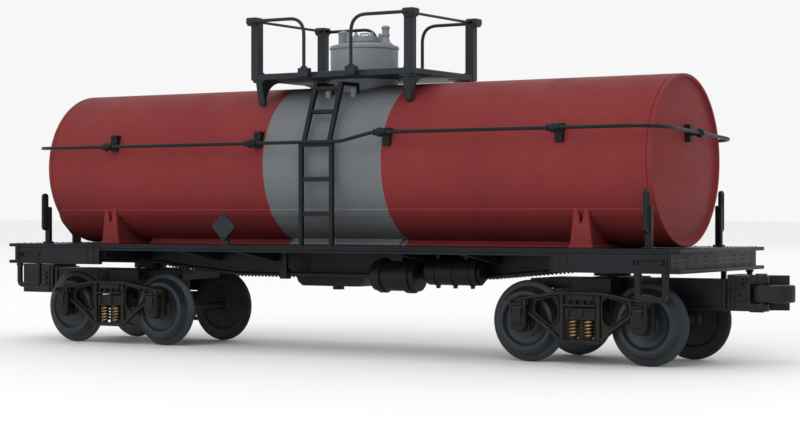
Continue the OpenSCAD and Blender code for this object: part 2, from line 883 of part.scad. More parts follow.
// Stand at the rear end with a flared housing
module hand_brake_stand() {
    z0 = frame_top;
    color(black) mirror([1, 0, 0]) difference() {
        union() {
            slab_yz([[-1.7, z0], [1.7, z0], [1.7, z0 + 2.4], [6.4, z0 + 6.4], [6.4, z0 + 13],
                [4.6, z0 + 15], [-4.6, z0 + 15], [-6.4, z0 + 13], [-6.4, z0 + 6.4],
                [-1.7, z0 + 2.4]], brake_x - 1, brake_x);
            translate([0, 0, z0 + 10.4]) rod_x(2.2, brake_x - eps, brake_x + 1);
        }
        translate([0, 0, z0 + 10.4]) rod_x(0.8 + seat, brake_x - 2, brake_x + 3);
    }
}

module hand_brake_wheel() {
    z = frame_top + 10.4;
    x0 = brake_x + 1.1;
    color(black) mirror([1, 0, 0]) translate([0, 0, z]) {
        translate([x0 + 0.55, 0, 0]) rotate([0, 90, 0]) rotate_extrude()
            translate([hand_wheel_r - 0.55, 0]) circle(r = 0.55);
        rod_x(1.3, x0, x0 + 1.3);
        rod_x(0.8, brake_x - 0.6, x0 + 0.5);
        for (a = [0:72:359]) rotate([a, 0, 0])
            box(x0 + 0.25, x0 + 0.85, -0.45, 0.45, 1, hand_wheel_r - 0.6);
    }
}

// ---- trucks: drawn round the truck's centre, with the coupler towards +X ----

bolster_bot = axle_z + 3.4;
beam_half = half_base - flange_r - 2.05;   // the beam passes between the wheel flanges
chord_in = 0.9;

module at_truck(front) {
    rotate([0, 0, front ? 0 : 180]) translate([truck_x, 0, 0]) children();
}

// Points of the top chord from end to end, and of the lower chord between the journals
function top_chord() = [[-half_base - 3.4, axle_z + 5.9], [-half_base + 2.4, axle_z + 6.8],
    [-6.4, axle_z + crown_z - 0.3], [0, axle_z + crown_z], [6.4, axle_z + crown_z - 0.3],
    [half_base - 2.4, axle_z + 6.8], [half_base + 3.4, axle_z + 5.9]];
function low_chord() = [[-half_base + 2.4, axle_z + 1.9], [-8.9, axle_z - 2.2],
    [-5.6, axle_z - plank_z], [5.6, axle_z - plank_z], [8.9, axle_z - 2.2],
    [half_base - 2.4, axle_z + 1.9]];

// The outline between a chord and its copy moved up or down
function strip(points, lift) = concat(points,
    [for (i = [len(points) - 1:-1:0]) points[i] + [0, lift]]);

// Side frame on the -Y side, with its axle bores open towards the wheels
module side_frame() {
    y0 = -side_y;
    end_low = axle_z - 2.2;
    opening = 4.7;
    color(soot) difference() {
        union() {
            slab_xz(concat(top_chord(), [[half_base + 3.4, end_low], [half_base - 2.4, end_low]],
                [for (i = [5:-1:0]) low_chord()[i]],
                [[-half_base + 2.4, end_low], [-half_base - 3.4, end_low]]), y0 - web_t, y0);
            slab_xz(strip(top_chord(), -chord_in), y0 - rib_t, y0);
            slab_xz(strip(low_chord(), chord_in), y0 - rib_t, y0);
            both_ends() {
                box(opening, opening + 1.1, y0 - rib_t + 0.3, y0, axle_z - plank_z + 0.3,
                    axle_z + crown_z - 0.7);
                translate([half_base, 0, axle_z]) {
                    box(-2.5, 2.5, y0 - journal_out, y0, -0.8, 6);
                    rod_y(2.2, y0 - journal_out + 1.1, y0);
                }
            }
        }
        both_ends() {
            slab_xz([[half_base - 4, axle_z + 3.2], [half_base - 4.4, axle_z + 5.8],
                [7.2, axle_z + crown_z - 1.7], [6.4, axle_z + crown_z - 2.2],
                [6.4, axle_z + 0.6], [8.7, axle_z - 0.9]], y0 - rib_t - 1, y0 + 1);
            translate([half_base, 0, axle_z]) rod_y(axle_r + run, y0 - web_t - 0.2, y0 + 1);
        }
        box(-opening, opening, y0 - rib_t - 1, y0 + 1, axle_z - plank_z + 1.1, axle_z + 4.3);
    }
}

// Cross beam through both side frames, with the bore for the kingpin
module bolster() {
    end_y = side_y + web_t + 0.3;
    pocket = (beam_half - 1.4) / 4;
    color(soot) difference() {
        union() {
            box(-beam_half, beam_half, -end_y, end_y, axle_z + 0.9, axle_z + 4);
            box(-5.6, 5.6, -back_gap / 2 + 1, back_gap / 2 - 1, bolster_bot - 0.6, truck_top);
            box(-half_base - 2.6, -5, -9.5, 9.5, truck_top - 3, truck_top - 0.4);
        }
        box(-6, 6, -5.4, 5.4, axle_z - 1, bolster_bot);
        translate([0, 0, axle_z]) cylinder(r = kingpin_r + run, h = truck_top);
        both_sides() for (x = [-beam_half / 2 + 0.1, beam_half / 2 - 0.1])
            box(x - 2 * pocket, x + 2 * pocket, end_y - 0.6, end_y + 1, axle_z + 1.4, axle_z + 3.5);
    }
}

// Two coil springs in each side frame, drawn as stacked rings on a core
module springs() {
    z0 = axle_z - plank_z + 1.1 + seat;
    z1 = axle_z + 0.9 - seat;
    rings = 4;
    pitch = (z1 - z0) / rings;
    color(brass) both_sides() for (x = [-2.2, 2.2]) translate([x, side_y + web_t / 2, 0]) {
        translate([0, 0, z0]) cylinder(r = spring_r - 0.45, h = z1 - z0);
        for (i = [0:rings - 1]) translate([0, 0, z0 + pitch * (i + 0.15)])
            cylinder(r = spring_r, h = pitch * 0.7);
    }
}

// Deep shank over the outer axle and the coupler head, with the pocket for the knuckle
module coupler() {
    z0 = coupler_z;
    z1 = coupler_z + head_h;
    back = 6;
    head_x = pin_x - 8.6;
    guard = pin_x + 4.7;
    color(black) difference() {
        union() {
            box(back, head_x + eps, -shank_half, shank_half, z0, truck_top - 0.1);
            box(head_x, pin_x - 1.2, -shank_half - 0.6, shank_half + 0.6, z0, z1);
            // guard arm
            translate([0, 0, z0]) linear_extrude(head_h) polygon([[pin_x - 2, 2],
                [pin_x + 0.6, 2], [guard - 0.8, 3.4], [guard, 4.4], [guard - 0.6, shank_half + 0.6],
                [pin_x - 2, shank_half + 0.6]]);
            // lugs above and below the knuckle
            for (z = [z0, z1 - lug_h]) {
                translate([pin_x, -pin_side, z]) cylinder(r = 2, h = lug_h);
                box(pin_x - 3, pin_x, -pin_side - 1.9, -pin_side + 1.9, z, z + lug_h);
            }
        }
        translate([0, 0, z0 + lug_h]) {
            translate([pin_x, -pin_side, 0]) cylinder(r = 2.7, h = head_h - 2 * lug_h);
            linear_extrude(head_h - 2 * lug_h) polygon([[pin_x, -pin_side - 4],
                [pin_x, 1.6], [pin_x - 1.5, 1.6], [pin_x - 2.3, -pin_side - 1.4],
                [pin_x - 2.3, -pin_side - 4]]);
        }
        translate([pin_x, -pin_side, z0 - 1]) cylinder(r = pin_r + seat, h = head_h + 2);
    }
}

module knuckle_pin() {
    color(steel) translate([pin_x, -pin_side, coupler_z - 0.3]) {
        cylinder(r = pin_r, h = head_h + 0.4);
        translate([0, 0, head_h + 0.3 + seat]) cylinder(r = 1.5, h = 0.6);
    }
}

// Hooked jaw that swings out on its pin
module knuckle() {
    tip = coupler_reach;
    color(steel) translate([0, 0, knuckle_z - knuckle_h / 2]) difference() {
        union() {
            translate([pin_x, -pin_side, 0]) cylinder(r = 2.3, h = knuckle_h);
            linear_extrude(knuckle_h) polygon([[pin_x - 0.2, -pin_side - 2.25],
                [tip - 3.4, -pin_side - 2.1], [tip - 1.6, -pin_side - 1.2], [tip - 0.4, -pin_side + 0.8],
                [tip, -1], [tip - 0.5, 0.6], [tip - 1.6, 1.2], [tip - 2.7, 0.7],
                [tip - 3.1, -0.6], [tip - 3.4, -1.6], [pin_x + 2, -pin_side + 1.8],
                [pin_x + 0.4, -pin_side + 2.2]]);
        }
        translate([pin_x, -pin_side, -1]) cylinder(r = pin_r + run, h = knuckle_h + 2);
    }
}

// A pair of wheels on the +Y and -Y sides of one axle, drawn round the axle
module wheels() {
    back = back_gap / 2;
    face = wheel_face;
    color(steel) both_sides() rotate([-90, 0, 0]) rotate_extrude() polygon([
        [axle_r + seat, back], [tread_in + 0.6, back],
        [flange_r - 0.35, back + 0.1], [flange_r, back + 0.5], [flange_r, back + 0.75],
        [flange_r - 0.5, back + 1.15], [tread_in + 0.25, back + 1.4], [tread_in, back + 1.7],
        [tread_out, face - 0.25], [tread_out - 0.25, face], [tread_out - 1.3, face],
        [tread_out - 1.9, face - 1.1], [3, face - 1.7], [2.4, face - 1.5], [2.2, face - 0.5],
        [axle_r + seat, face - 0.5]]);
}

module axle() {
    reach = side_y + web_t - 0.1;
    color(steel) rod_y(axle_r, -reach, reach);
}

module front_side_frame_near() {
    at_truck(true) side_frame();
}

module front_side_frame_far() {
    at_truck(true) mirror([0, 1, 0]) side_frame();
}

module front_bolster() {
    at_truck(true) bolster();
}

module front_springs() {
    at_truck(true) springs();
}

module front_coupler() {
    at_truck(true) coupler();
}

module front_knuckle_pin() {
    at_truck(true) knuckle_pin();
}

module front_knuckle() {
    at_truck(true) knuckle();
}

module front_outer_wheels() {
    at_truck(true) translate([half_base, 0, axle_z]) wheels();
}

module front_outer_axle() {
    at_truck(true) translate([half_base, 0, axle_z]) axle();
}

module front_inner_wheels() {
    at_truck(true) translate([-half_base, 0, axle_z]) wheels();
}

module front_inner_axle() {
    at_truck(true) translate([-half_base, 0, axle_z]) axle();
}

module rear_side_frame_near() {
    at_truck(false) mirror([0, 1, 0]) side_frame();
}

module rear_side_frame_far() {
    at_truck(false) side_frame();
}

module rear_bolster() {
    at_truck(false) bolster();
}

module rear_springs() {
    at_truck(false) springs();
}

module rear_coupler() {
    at_truck(false) coupler();
}

module rear_knuckle_pin() {
    at_truck(false) knuckle_pin();
}

module rear_knuckle() {
    at_truck(false) knuckle();
}

module rear_outer_wheels() {
    at_truck(false) translate([half_base, 0, axle_z]) wheels();
}

module rear_outer_axle() {
    at_truck(false) translate([half_base, 0, axle_z]) axle();
}

module rear_inner_wheels() {
    at_truck(false) translate([-half_base, 0, axle_z]) wheels();
}

module rear_inner_axle() {
    at_truck(false) translate([-half_base, 0, axle_z]) axle();
}

tank_barrel();
tank_head_front();
tank_head_rear();
tank_saddles();
tank_base_rails();
dome();
dome_cover();
dome_fittings();
platform_deck();
platform_brackets();
platform_posts();
platform_rails();
ladder_near();
ladder_far();
ladder_lugs();
handrail_front();
handrail_rear();
handrail_stanchions();
frame_deck();
side_sill_near();
side_sill_far();
centre_sill();
end_sill_front();
end_sill_rear();
body_bolsters();
cross_bearers();
centre_plates();
kingpins();
stirrup_steps();
corner_posts();
placard_boards();
bottom_outlet();
brake_cylinder();
air_reservoir();
brake_rod();
hand_brake_stand();
hand_brake_wheel();
front_side_frame_near();
front_side_frame_far();
front_bolster();
front_springs();
front_coupler();
front_knuckle_pin();
front_knuckle();
front_outer_wheels();
front_outer_axle();
front_inner_wheels();
front_inner_axle();
rear_side_frame_near();
rear_side_frame_far();
rear_bolster();
rear_springs();
rear_coupler();
rear_knuckle_pin();
rear_knuckle();
rear_outer_wheels();
rear_outer_axle();
rear_inner_wheels();
rear_inner_axle();
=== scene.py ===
import json

import bmesh
import bpy
import numpy as np
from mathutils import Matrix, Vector
from mathutils.geometry import tessellate_polygon


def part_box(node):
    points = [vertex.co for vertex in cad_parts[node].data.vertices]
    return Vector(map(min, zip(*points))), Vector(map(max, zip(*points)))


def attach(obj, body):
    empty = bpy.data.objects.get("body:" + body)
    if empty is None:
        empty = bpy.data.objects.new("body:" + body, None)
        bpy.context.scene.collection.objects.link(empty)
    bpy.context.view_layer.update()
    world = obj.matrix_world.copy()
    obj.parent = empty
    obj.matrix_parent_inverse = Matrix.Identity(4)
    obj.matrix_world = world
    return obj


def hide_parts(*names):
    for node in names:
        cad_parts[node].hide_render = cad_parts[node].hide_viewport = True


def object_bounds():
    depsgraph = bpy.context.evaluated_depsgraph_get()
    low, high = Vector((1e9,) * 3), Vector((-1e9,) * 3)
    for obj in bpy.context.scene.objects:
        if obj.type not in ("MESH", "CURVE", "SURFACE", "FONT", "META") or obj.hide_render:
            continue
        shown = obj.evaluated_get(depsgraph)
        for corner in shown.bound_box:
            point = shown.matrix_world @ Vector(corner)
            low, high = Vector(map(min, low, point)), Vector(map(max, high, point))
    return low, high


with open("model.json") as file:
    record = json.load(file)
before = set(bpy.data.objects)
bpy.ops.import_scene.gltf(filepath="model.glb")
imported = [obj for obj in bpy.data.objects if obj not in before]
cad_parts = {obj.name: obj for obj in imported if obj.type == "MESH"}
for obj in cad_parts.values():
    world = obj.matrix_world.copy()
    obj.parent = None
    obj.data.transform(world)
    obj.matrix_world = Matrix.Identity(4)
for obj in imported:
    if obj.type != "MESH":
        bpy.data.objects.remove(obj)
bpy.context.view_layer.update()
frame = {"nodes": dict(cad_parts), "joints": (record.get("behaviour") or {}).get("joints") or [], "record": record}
mm = 0.001                      # shapes are worked out in millimetres and stored in metres
print("frame loaded:", len(frame["nodes"]), "nodes")


# The lowest and the highest corner of a node, in millimetres.
def corners(node):
    low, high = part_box(node)
    return np.array(low) / mm, np.array(high) / mm


# Splits a node into its separate solids: the lowest corner number is passed along every triangle
# until nothing changes, so that each solid ends with one number. Gives their boxes, lowest x first.
def solidBoxes(node):
    mesh = frame["nodes"][node].data
    co = np.empty(len(mesh.vertices) * 3, np.float32)
    mesh.vertices.foreach_get("co", co)
    co = co.reshape(-1, 3) / mm
    loops = np.empty(len(mesh.loops), np.int32)
    mesh.loops.foreach_get("vertex_index", loops)
    corner = np.unique(np.round(co, 3), axis=0, return_inverse=True)[1].ravel()
    triangles = corner[loops].reshape(-1, 3)
    label = np.arange(corner.max() + 1)
    while True:
        passed = label.copy()
        np.minimum.at(passed, triangles.ravel(), np.repeat(label[triangles].min(axis=1), 3))
        passed = passed[passed]
        if (passed == label).all():
            break
        label = passed
    groups = [co[label[corner] == k] for k in np.unique(label[corner])]
    boxes = [(g.min(axis=0), g.max(axis=0)) for g in groups]
    return sorted(boxes, key=lambda b: tuple(np.round(b[0], 1)))


headLow, headHigh = corners("tank_head_front")
tankRadius = (headHigh[1] - headLow[1]) / 2
tankZ = (headHigh[2] + headLow[2]) / 2
barrelEnd = headLow[0]
headEnd = headHigh[0]
deckLow, deckHigh = corners("frame_deck")
frameTop = deckHigh[2]
frameSide = deckHigh[1]
sillLow, sillHigh = corners("end_sill_front")
frameEnd = sillHigh[0]
frameBottom = sillLow[2]


# Every shape below gives (points, faces): an n x 3 array in millimetres, and lists of corner numbers.

# Corner numbers of the four-sided faces between neighbouring rows and columns of a grid.
def gridFaces(rows, columns, wrap=True):
    i, j = np.meshgrid(np.arange(rows - 1), np.arange(columns if wrap else columns - 1), indexing="ij")
    k = (j + 1) % columns
    quads = np.stack([i * columns + j, i * columns + k, (i + 1) * columns + k,
                      (i + 1) * columns + j], axis=-1)
    return quads.reshape(-1, 4).tolist()


# Softens each corner of a line: between a point short of the corner and a point past it, the line
# follows the parabola whose control point is the corner. reach is how far from the corner it starts.
def softened(points, reach, steps=4, closed=True):
    p = np.asarray(points, float)
    before, after = np.roll(p, 1, axis=0) - p, np.roll(p, -1, axis=0) - p
    a, b = np.linalg.norm(before, axis=1), np.linalg.norm(after, axis=1)
    reach = np.minimum(np.broadcast_to(reach, len(p)), 0.48 * np.minimum(a, b))
    start = p + before / a[:, None] * reach[:, None]
    end = p + after / b[:, None] * reach[:, None]
    w = np.linspace(0, 1, steps + 1)[None, :, None]
    curve = (1 - w) ** 2 * start[:, None] + 2 * w * (1 - w) * p[:, None] + w * w * end[:, None]
    if closed:
        return curve.reshape(-1, p.shape[1])
    inner = curve[1:-1].reshape(-1, p.shape[1])
    return np.concatenate([p[:1], inner, p[-1:]])


# Two unit vectors square to each axis and to each other.
def squareTo(axis):
    axis = np.atleast_2d(np.asarray(axis, float))
    axis = axis / np.linalg.norm(axis, axis=1)[:, None]
    helper = np.where(np.abs(axis[:, 2:]) > 0.9, [[1.0, 0, 0]], [[0, 0, 1.0]])
    first = np.cross(helper, axis)
    first /= np.linalg.norm(first, axis=1)[:, None]
    return axis, first, np.cross(axis, first)


# Turned shape: each profile point (distance along the axis, radius) makes a ring about the axis.
def turned(profile, origin, axis, steps=48):
    profile = np.asarray(profile, float)
    axis, first, second = (v[0] for v in squareTo(axis))
    turn = np.linspace(0, 2 * np.pi, steps, endpoint=False)
    ring = np.cos(turn)[:, None] * first + np.sin(turn)[:, None] * second
    points = np.asarray(origin, float) + profile[:, 0, None, None] * axis + profile[:, 1, None, None] * ring
    return points.reshape(-1, 3), gridFaces(len(profile), steps)


# Block with soft edges: a point of the sharp box is pulled towards the box shrunk by the edge radius
# until it lies that radius away. The grid lines bunch up where the tangent of equal angles puts them.
def softBlock(low, high, radius=0.25, steps=2):
    low, high = np.asarray(low, float), np.asarray(high, float)
    half, mid = (high - low) / 2, (high + low) / 2
    radius = min(radius, 0.49 * 2 * half.min())
    lift = radius * np.tan(np.linspace(0, np.pi / 4, steps + 1))
    points, faces = [], []
    for axis in range(3):
        u, v = (axis + 1) % 3, (axis + 2) % 3
        lines = [np.concatenate([-(half[k] - radius) - lift[::-1], half[k] - radius + lift]) for k in (u, v)]
        a, b = np.meshgrid(*lines, indexing="ij")
        for side in (-1, 1):
            sheet = np.zeros(a.shape + (3,))
            sheet[..., u], sheet[..., v], sheet[..., axis] = a, b, side * half[axis]
            core = np.clip(sheet, -(half - radius), half - radius)
            out = sheet - core
            out *= radius / np.linalg.norm(out, axis=-1, keepdims=True)
            start = sum(len(p) for p in points)
            points.append((core + out + mid).reshape(-1, 3))
            faces += [[c + start for c in f] for f in gridFaces(a.shape[0], a.shape[1], wrap=False)]
    return np.concatenate(points), faces


planes = {"xy": (0, 1, 2), "xz": (0, 2, 1), "yz": (1, 2, 0)}


# Two distances from the middle, taken towards one side of the car (1 or -1), lower first.
def ordered(side, a, b):
    return sorted((side * a, side * b))


# Twice an outline's area, positive when it runs anticlockwise: at each corner, x times the next y
# less y times the next x.
def windingArea(loop):
    return (loop[:, 0] * np.roll(loop[:, 1], -1) - loop[:, 1] * np.roll(loop[:, 0], -1)).sum()


# Moves an outline sideways, to the left of its direction, by the same distance at every edge.
def movedIn(loop, distance):
    edge = np.roll(loop, -1, axis=0) - loop
    left = np.stack([-edge[:, 1], edge[:, 0]], axis=1) / np.linalg.norm(edge, axis=1)[:, None]
    before = np.roll(left, 1, axis=0)
    share = 1 + (left * before).sum(axis=1)
    return loop + distance * (left + before) / np.maximum(share, 0.35)[:, None]


# Slab with soft rims: the outline is carried across the thickness, and near both faces it is moved
# in along a quarter circle. Further outlines are holes.
def softSlab(outlines, low, high, plane, radius=0.2, steps=2):
    loops = []
    for n, outline in enumerate(outlines):
        loop = np.asarray(outline, float)
        loops.append(loop if (windingArea(loop) > 0) == (n == 0) else loop[::-1])
    turn = np.linspace(0, np.pi / 2, steps + 1)
    inset = radius * (1 - np.sin(turn))
    rise = radius * (1 - np.cos(turn))
    inset = np.concatenate([inset, inset[::-1]])
    level = np.concatenate([low + rise, high - rise[::-1]])
    order = planes[plane]
    points, faces, lowCap, highCap = [], [], [], []
    for loop in loops:
        start = sum(len(p) for p in points)
        rings = np.zeros((len(inset), len(loop), 3))
        for k, (move, height) in enumerate(zip(inset, level)):
            rings[k][:, order[:2]] = movedIn(loop, move)
            rings[k][:, order[2]] = height
        points.append(rings.reshape(-1, 3))
        faces += [[c + start for c in f] for f in gridFaces(len(inset), len(loop))]
        lowCap += range(start, start + len(loop))
        highCap += range(start + (len(inset) - 1) * len(loop), start + len(inset) * len(loop))
    flat = [[Vector((*p, 0)) for p in movedIn(loop, radius)] for loop in loops]
    for a, b, c in tessellate_polygon(flat):
        faces.append([lowCap[a], lowCap[b], lowCap[c]])
        faces.append([highCap[a], highCap[b], highCap[c]])
    return np.concatenate(points), faces


# Carries a flat profile along a path. side is a direction never in line with the path: the profile's
# first measure lies square to the path and to side, its second as near to side as it can.
def carried(path, profile, side):
    path, profile = np.asarray(path, float), np.asarray(profile, float)
    along = np.gradient(path, axis=0)
    along /= np.linalg.norm(along, axis=1)[:, None]
    across = np.cross(along, np.asarray(side, float))
    across /= np.linalg.norm(across, axis=1)[:, None]
    up = np.cross(across, along)
    points = (path[:, None] + profile[None, :, 0, None] * across[:, None]
              + profile[None, :, 1, None] * up[:, None])
    count = len(profile)
    faces = gridFaces(len(path), count)
    faces += [list(range(count)), list(range((len(path) - 1) * count, len(path) * count))]
    return points.reshape(-1, 3), faces


# A circle: cosine and sine of evenly spaced angles, times the radius.
def roundProfile(radius, steps=12):
    turn = np.linspace(0, 2 * np.pi, steps, endpoint=False)
    return radius * np.stack([np.cos(turn), np.sin(turn)], axis=1)


# A rectangle about the centre, with its four corners softened.
def barProfile(width, height, reach=0.2):
    w, h = width / 2, height / 2
    return softened([[-w, -h], [w, -h], [w, h], [-w, h]], reach, 2)


# Rivet or bolt heads: a ring on the surface, a narrower ring at two thirds of the height and a
# point on top, set out about each head's own direction. Six steps make a hexagon.
def heads(centres, direction, radius, height, steps=8):
    centres = np.atleast_2d(np.asarray(centres, float))
    axis, first, second = squareTo(np.broadcast_to(np.asarray(direction, float), centres.shape))
    turn = np.linspace(0, 2 * np.pi, steps, endpoint=False)
    ring = (np.cos(turn)[:, None, None] * first + np.sin(turn)[:, None, None] * second).transpose(1, 0, 2)
    base = centres[:, None] + radius * ring - 0.05 * axis[:, None]
    shoulder = centres[:, None] + 0.74 * radius * ring + 0.66 * height * axis[:, None]
    top = (centres + height * axis)[:, None]
    points = np.concatenate([base, shoulder, top], axis=1)
    j = np.arange(steps)
    k = (j + 1) % steps
    one = np.stack([j, k, k + steps, j + steps], axis=1).tolist()
    one += np.stack([j + steps, k + steps, np.full(steps, 2 * steps)], axis=1).tolist()
    one.append(j[::-1].tolist())
    size = 2 * steps + 1
    faces = [[c + n * size for c in f] for n in range(len(centres)) for f in one]
    return points.reshape(-1, 3), faces


def moved(shape, offset):
    return shape[0] + np.asarray(offset, float), shape[1]


def scaledBy(shape, factors):
    return shape[0] * np.asarray(factors, float), shape[1]


# Turns a shape about Z: each quarter turn takes (x, y) to (-y, x).
def quarterTurned(shape, quarters):
    x, y, z = shape[0].T
    for _ in range(quarters % 4):
        x, y = -y, x
    return np.stack([x, y, z], axis=1), shape[1]


# Stores the shapes as one mesh: doubles are merged, which closes seams and poles, and normals are
# made to point outwards. Flat faces keep flat shading beside their soft edges by weighted normals.
def makePiece(name, shapes, material, body, replaced=(), sharp=38):
    points, faces, start = [], [], 0
    for shapePoints, shapeFaces in shapes:
        points.append(shapePoints)
        faces += [[c + start for c in f] for f in shapeFaces]
        start += len(shapePoints)
    mesh = bpy.data.meshes.new(name)
    mesh.from_pydata((np.concatenate(points) * mm).tolist(), [], faces)
    work = bmesh.new()
    work.from_mesh(mesh)
    bmesh.ops.remove_doubles(work, verts=work.verts, dist=1e-6)
    bmesh.ops.recalc_face_normals(work, faces=work.faces)
    work.to_mesh(mesh)
    work.free()
    mesh.shade_smooth()
    mesh.set_sharp_from_angle(angle=np.radians(sharp))
    mesh.materials.append(material)
    piece = bpy.data.objects.new(name, mesh)
    bpy.context.scene.collection.objects.link(piece)
    weigh = piece.modifiers.new("weighted", "WEIGHTED_NORMAL")
    weigh.keep_sharp = True
    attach(piece, body)
    if replaced:
        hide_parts(*replaced)
    return piece


# Colour values of 0 to 255 made linear by the usual power of 2.4.
def colour(red, green, blue):
    c = np.array([red, green, blue]) / 255
    return (*np.where(c < 0.04045, c / 12.92, ((c + 0.055) / 1.055) ** 2.4), 1.0)


def newGroup(name, inputs, outputs):
    group = bpy.data.node_groups.new(name, "ShaderNodeTree")
    for label, kind, value in inputs:
        group.interface.new_socket(label, in_out="INPUT", socket_type=kind).default_value = value
    for label, kind in outputs:
        group.interface.new_socket(label, in_out="OUTPUT", socket_type=kind)
    return group, group.nodes.new("NodeGroupInput"), group.nodes.new("NodeGroupOutput")


# Adds a node, sets its named inputs, and joins those that are given as sockets.
def addNode(tree, kind, inputs=(), **settings):
    node = tree.nodes.new(kind)
    for key, value in settings.items():
        setattr(node, key, value)
    for key, value in dict(inputs).items():
        if isinstance(value, bpy.types.NodeSocket):
            tree.links.new(value, node.inputs[key])
        else:
            node.inputs[key].default_value = value
    return node


def addMaths(tree, operation, a, b=0.0, clamp=False):
    return addNode(tree, "ShaderNodeMath", {0: a, 1: b}, operation=operation, use_clamp=clamp).outputs[0]


def addMix(tree, share, first, second, blend="MIX"):
    node = addNode(tree, "ShaderNodeMix", {0: share}, data_type="RGBA", blend_type=blend)
    for key, value in ((6, first), (7, second)):
        if isinstance(value, bpy.types.NodeSocket):
            tree.links.new(value, node.inputs[key])
        else:
            node.inputs[key].default_value = value
    return node.outputs[2]


def addRange(tree, value, low, high, toLow=0.0, toHigh=1.0):
    return addNode(tree, "ShaderNodeMapRange", {0: value, 1: low, 2: high, 3: toLow, 4: toHigh}).outputs[0]


# Slow drift between two tones of a paint, in patches of two sizes.
def buildPaintDrift():
    group, start, end = newGroup("paintDrift", [
        ("Base", "NodeSocketColor", (0.5, 0.5, 0.5, 1)), ("Shade", "NodeSocketColor", (0.4, 0.4, 0.4, 1)),
        ("Scale", "NodeSocketFloat", 60.0)], [("Color", "NodeSocketColor")])
    place = addNode(group, "ShaderNodeTexCoord").outputs["Object"]
    broad = addNode(group, "ShaderNodeTexNoise", {"Vector": place, "Scale": start.outputs["Scale"],
                                                  "Detail": 3.0})
    fineScale = addMaths(group, "MULTIPLY", start.outputs["Scale"], 9.0)
    fine = addNode(group, "ShaderNodeTexNoise", {"Vector": place, "Scale": fineScale, "Detail": 4.0})
    both = addMaths(group, "ADD", addMaths(group, "MULTIPLY", broad.outputs[0], 0.65),
                    addMaths(group, "MULTIPLY", fine.outputs[0], 0.35))
    share = addRange(group, both, 0.36, 0.64)
    group.links.new(addMix(group, share, start.outputs["Base"], start.outputs["Shade"]), end.inputs["Color"])
    return group


# Fine relief and gloss variation of sprayed paint, moulded plastic or a casting.
def buildSurfaceGrain():
    group, start, end = newGroup("surfaceGrain", [
        ("Scale", "NodeSocketFloat", 1500.0), ("Coarse", "NodeSocketFloat", 0.4)],
        [("Height", "NodeSocketFloat"), ("Gloss", "NodeSocketFloat")])
    place = addNode(group, "ShaderNodeTexCoord").outputs["Object"]
    fine = addNode(group, "ShaderNodeTexNoise", {"Vector": place, "Scale": start.outputs["Scale"],
                                                 "Detail": 3.0})
    lumpScale = addMaths(group, "MULTIPLY", start.outputs["Scale"], 0.21)
    lumps = addNode(group, "ShaderNodeTexNoise", {"Vector": place, "Scale": lumpScale, "Detail": 2.0})
    lift = addMaths(group, "MULTIPLY", lumps.outputs[0], start.outputs["Coarse"])
    group.links.new(addMaths(group, "ADD", fine.outputs[0], lift), end.inputs["Height"])
    gloss = addNode(group, "ShaderNodeTexNoise", {"Vector": place, "Scale": 85.0, "Detail": 5.0})
    group.links.new(addRange(group, gloss.outputs[0], 0.3, 0.7), end.inputs["Gloss"])
    return group


# Lighter edges, partly rubbed wear and partly a painted highlight: where the surface normal, averaged over a small
# ball, leaves the plain one.
def buildEdgeWearAndHighlight():
    group, start, end = newGroup("edgeWearAndHighlight", [
        ("Radius", "NodeSocketFloat", 0.0003), ("Amount", "NodeSocketFloat", 0.5)],
        [("Mask", "NodeSocketFloat")])
    ball = addNode(group, "ShaderNodeBevel", {"Radius": start.outputs["Radius"]}, samples=4)
    plain = addNode(group, "ShaderNodeNewGeometry")
    dot = addNode(group, "ShaderNodeVectorMath", {0: ball.outputs[0], 1: plain.outputs["Normal"]},
                  operation="DOT_PRODUCT").outputs["Value"]
    turn = addRange(group, dot, 0.995, 0.82)
    place = addNode(group, "ShaderNodeTexCoord").outputs["Object"]
    patch = addNode(group, "ShaderNodeTexNoise", {"Vector": place, "Scale": 240.0, "Detail": 4.0})
    mask = addMaths(group, "MULTIPLY", turn, addRange(group, patch.outputs[0], 0.34, 0.62))
    group.links.new(addMaths(group, "MULTIPLY", mask, start.outputs["Amount"], True), end.inputs["Mask"])
    return group


# Fine dust on what faces up, thin and patchy.
def buildShelfDust():
    group, start, end = newGroup("shelfDust", [("Amount", "NodeSocketFloat", 0.2)],
                                 [("Mask", "NodeSocketFloat")])
    normal = addNode(group, "ShaderNodeNewGeometry").outputs["Normal"]
    up = addRange(group, addNode(group, "ShaderNodeSeparateXYZ", {0: normal}).outputs[2], 0.45, 1.0)
    place = addNode(group, "ShaderNodeTexCoord").outputs["Object"]
    patch = addNode(group, "ShaderNodeTexNoise", {"Vector": place, "Scale": 130.0, "Detail": 6.0})
    mask = addMaths(group, "MULTIPLY", up, addRange(group, patch.outputs[0], 0.38, 0.7))
    group.links.new(addMaths(group, "MULTIPLY", mask, start.outputs["Amount"], True), end.inputs["Mask"])
    return group


paintDrift, surfaceGrain = buildPaintDrift(), buildSurfaceGrain()
edgeWearAndHighlight, shelfDust = buildEdgeWearAndHighlight(), buildShelfDust()

dustColour = colour(150, 147, 140)
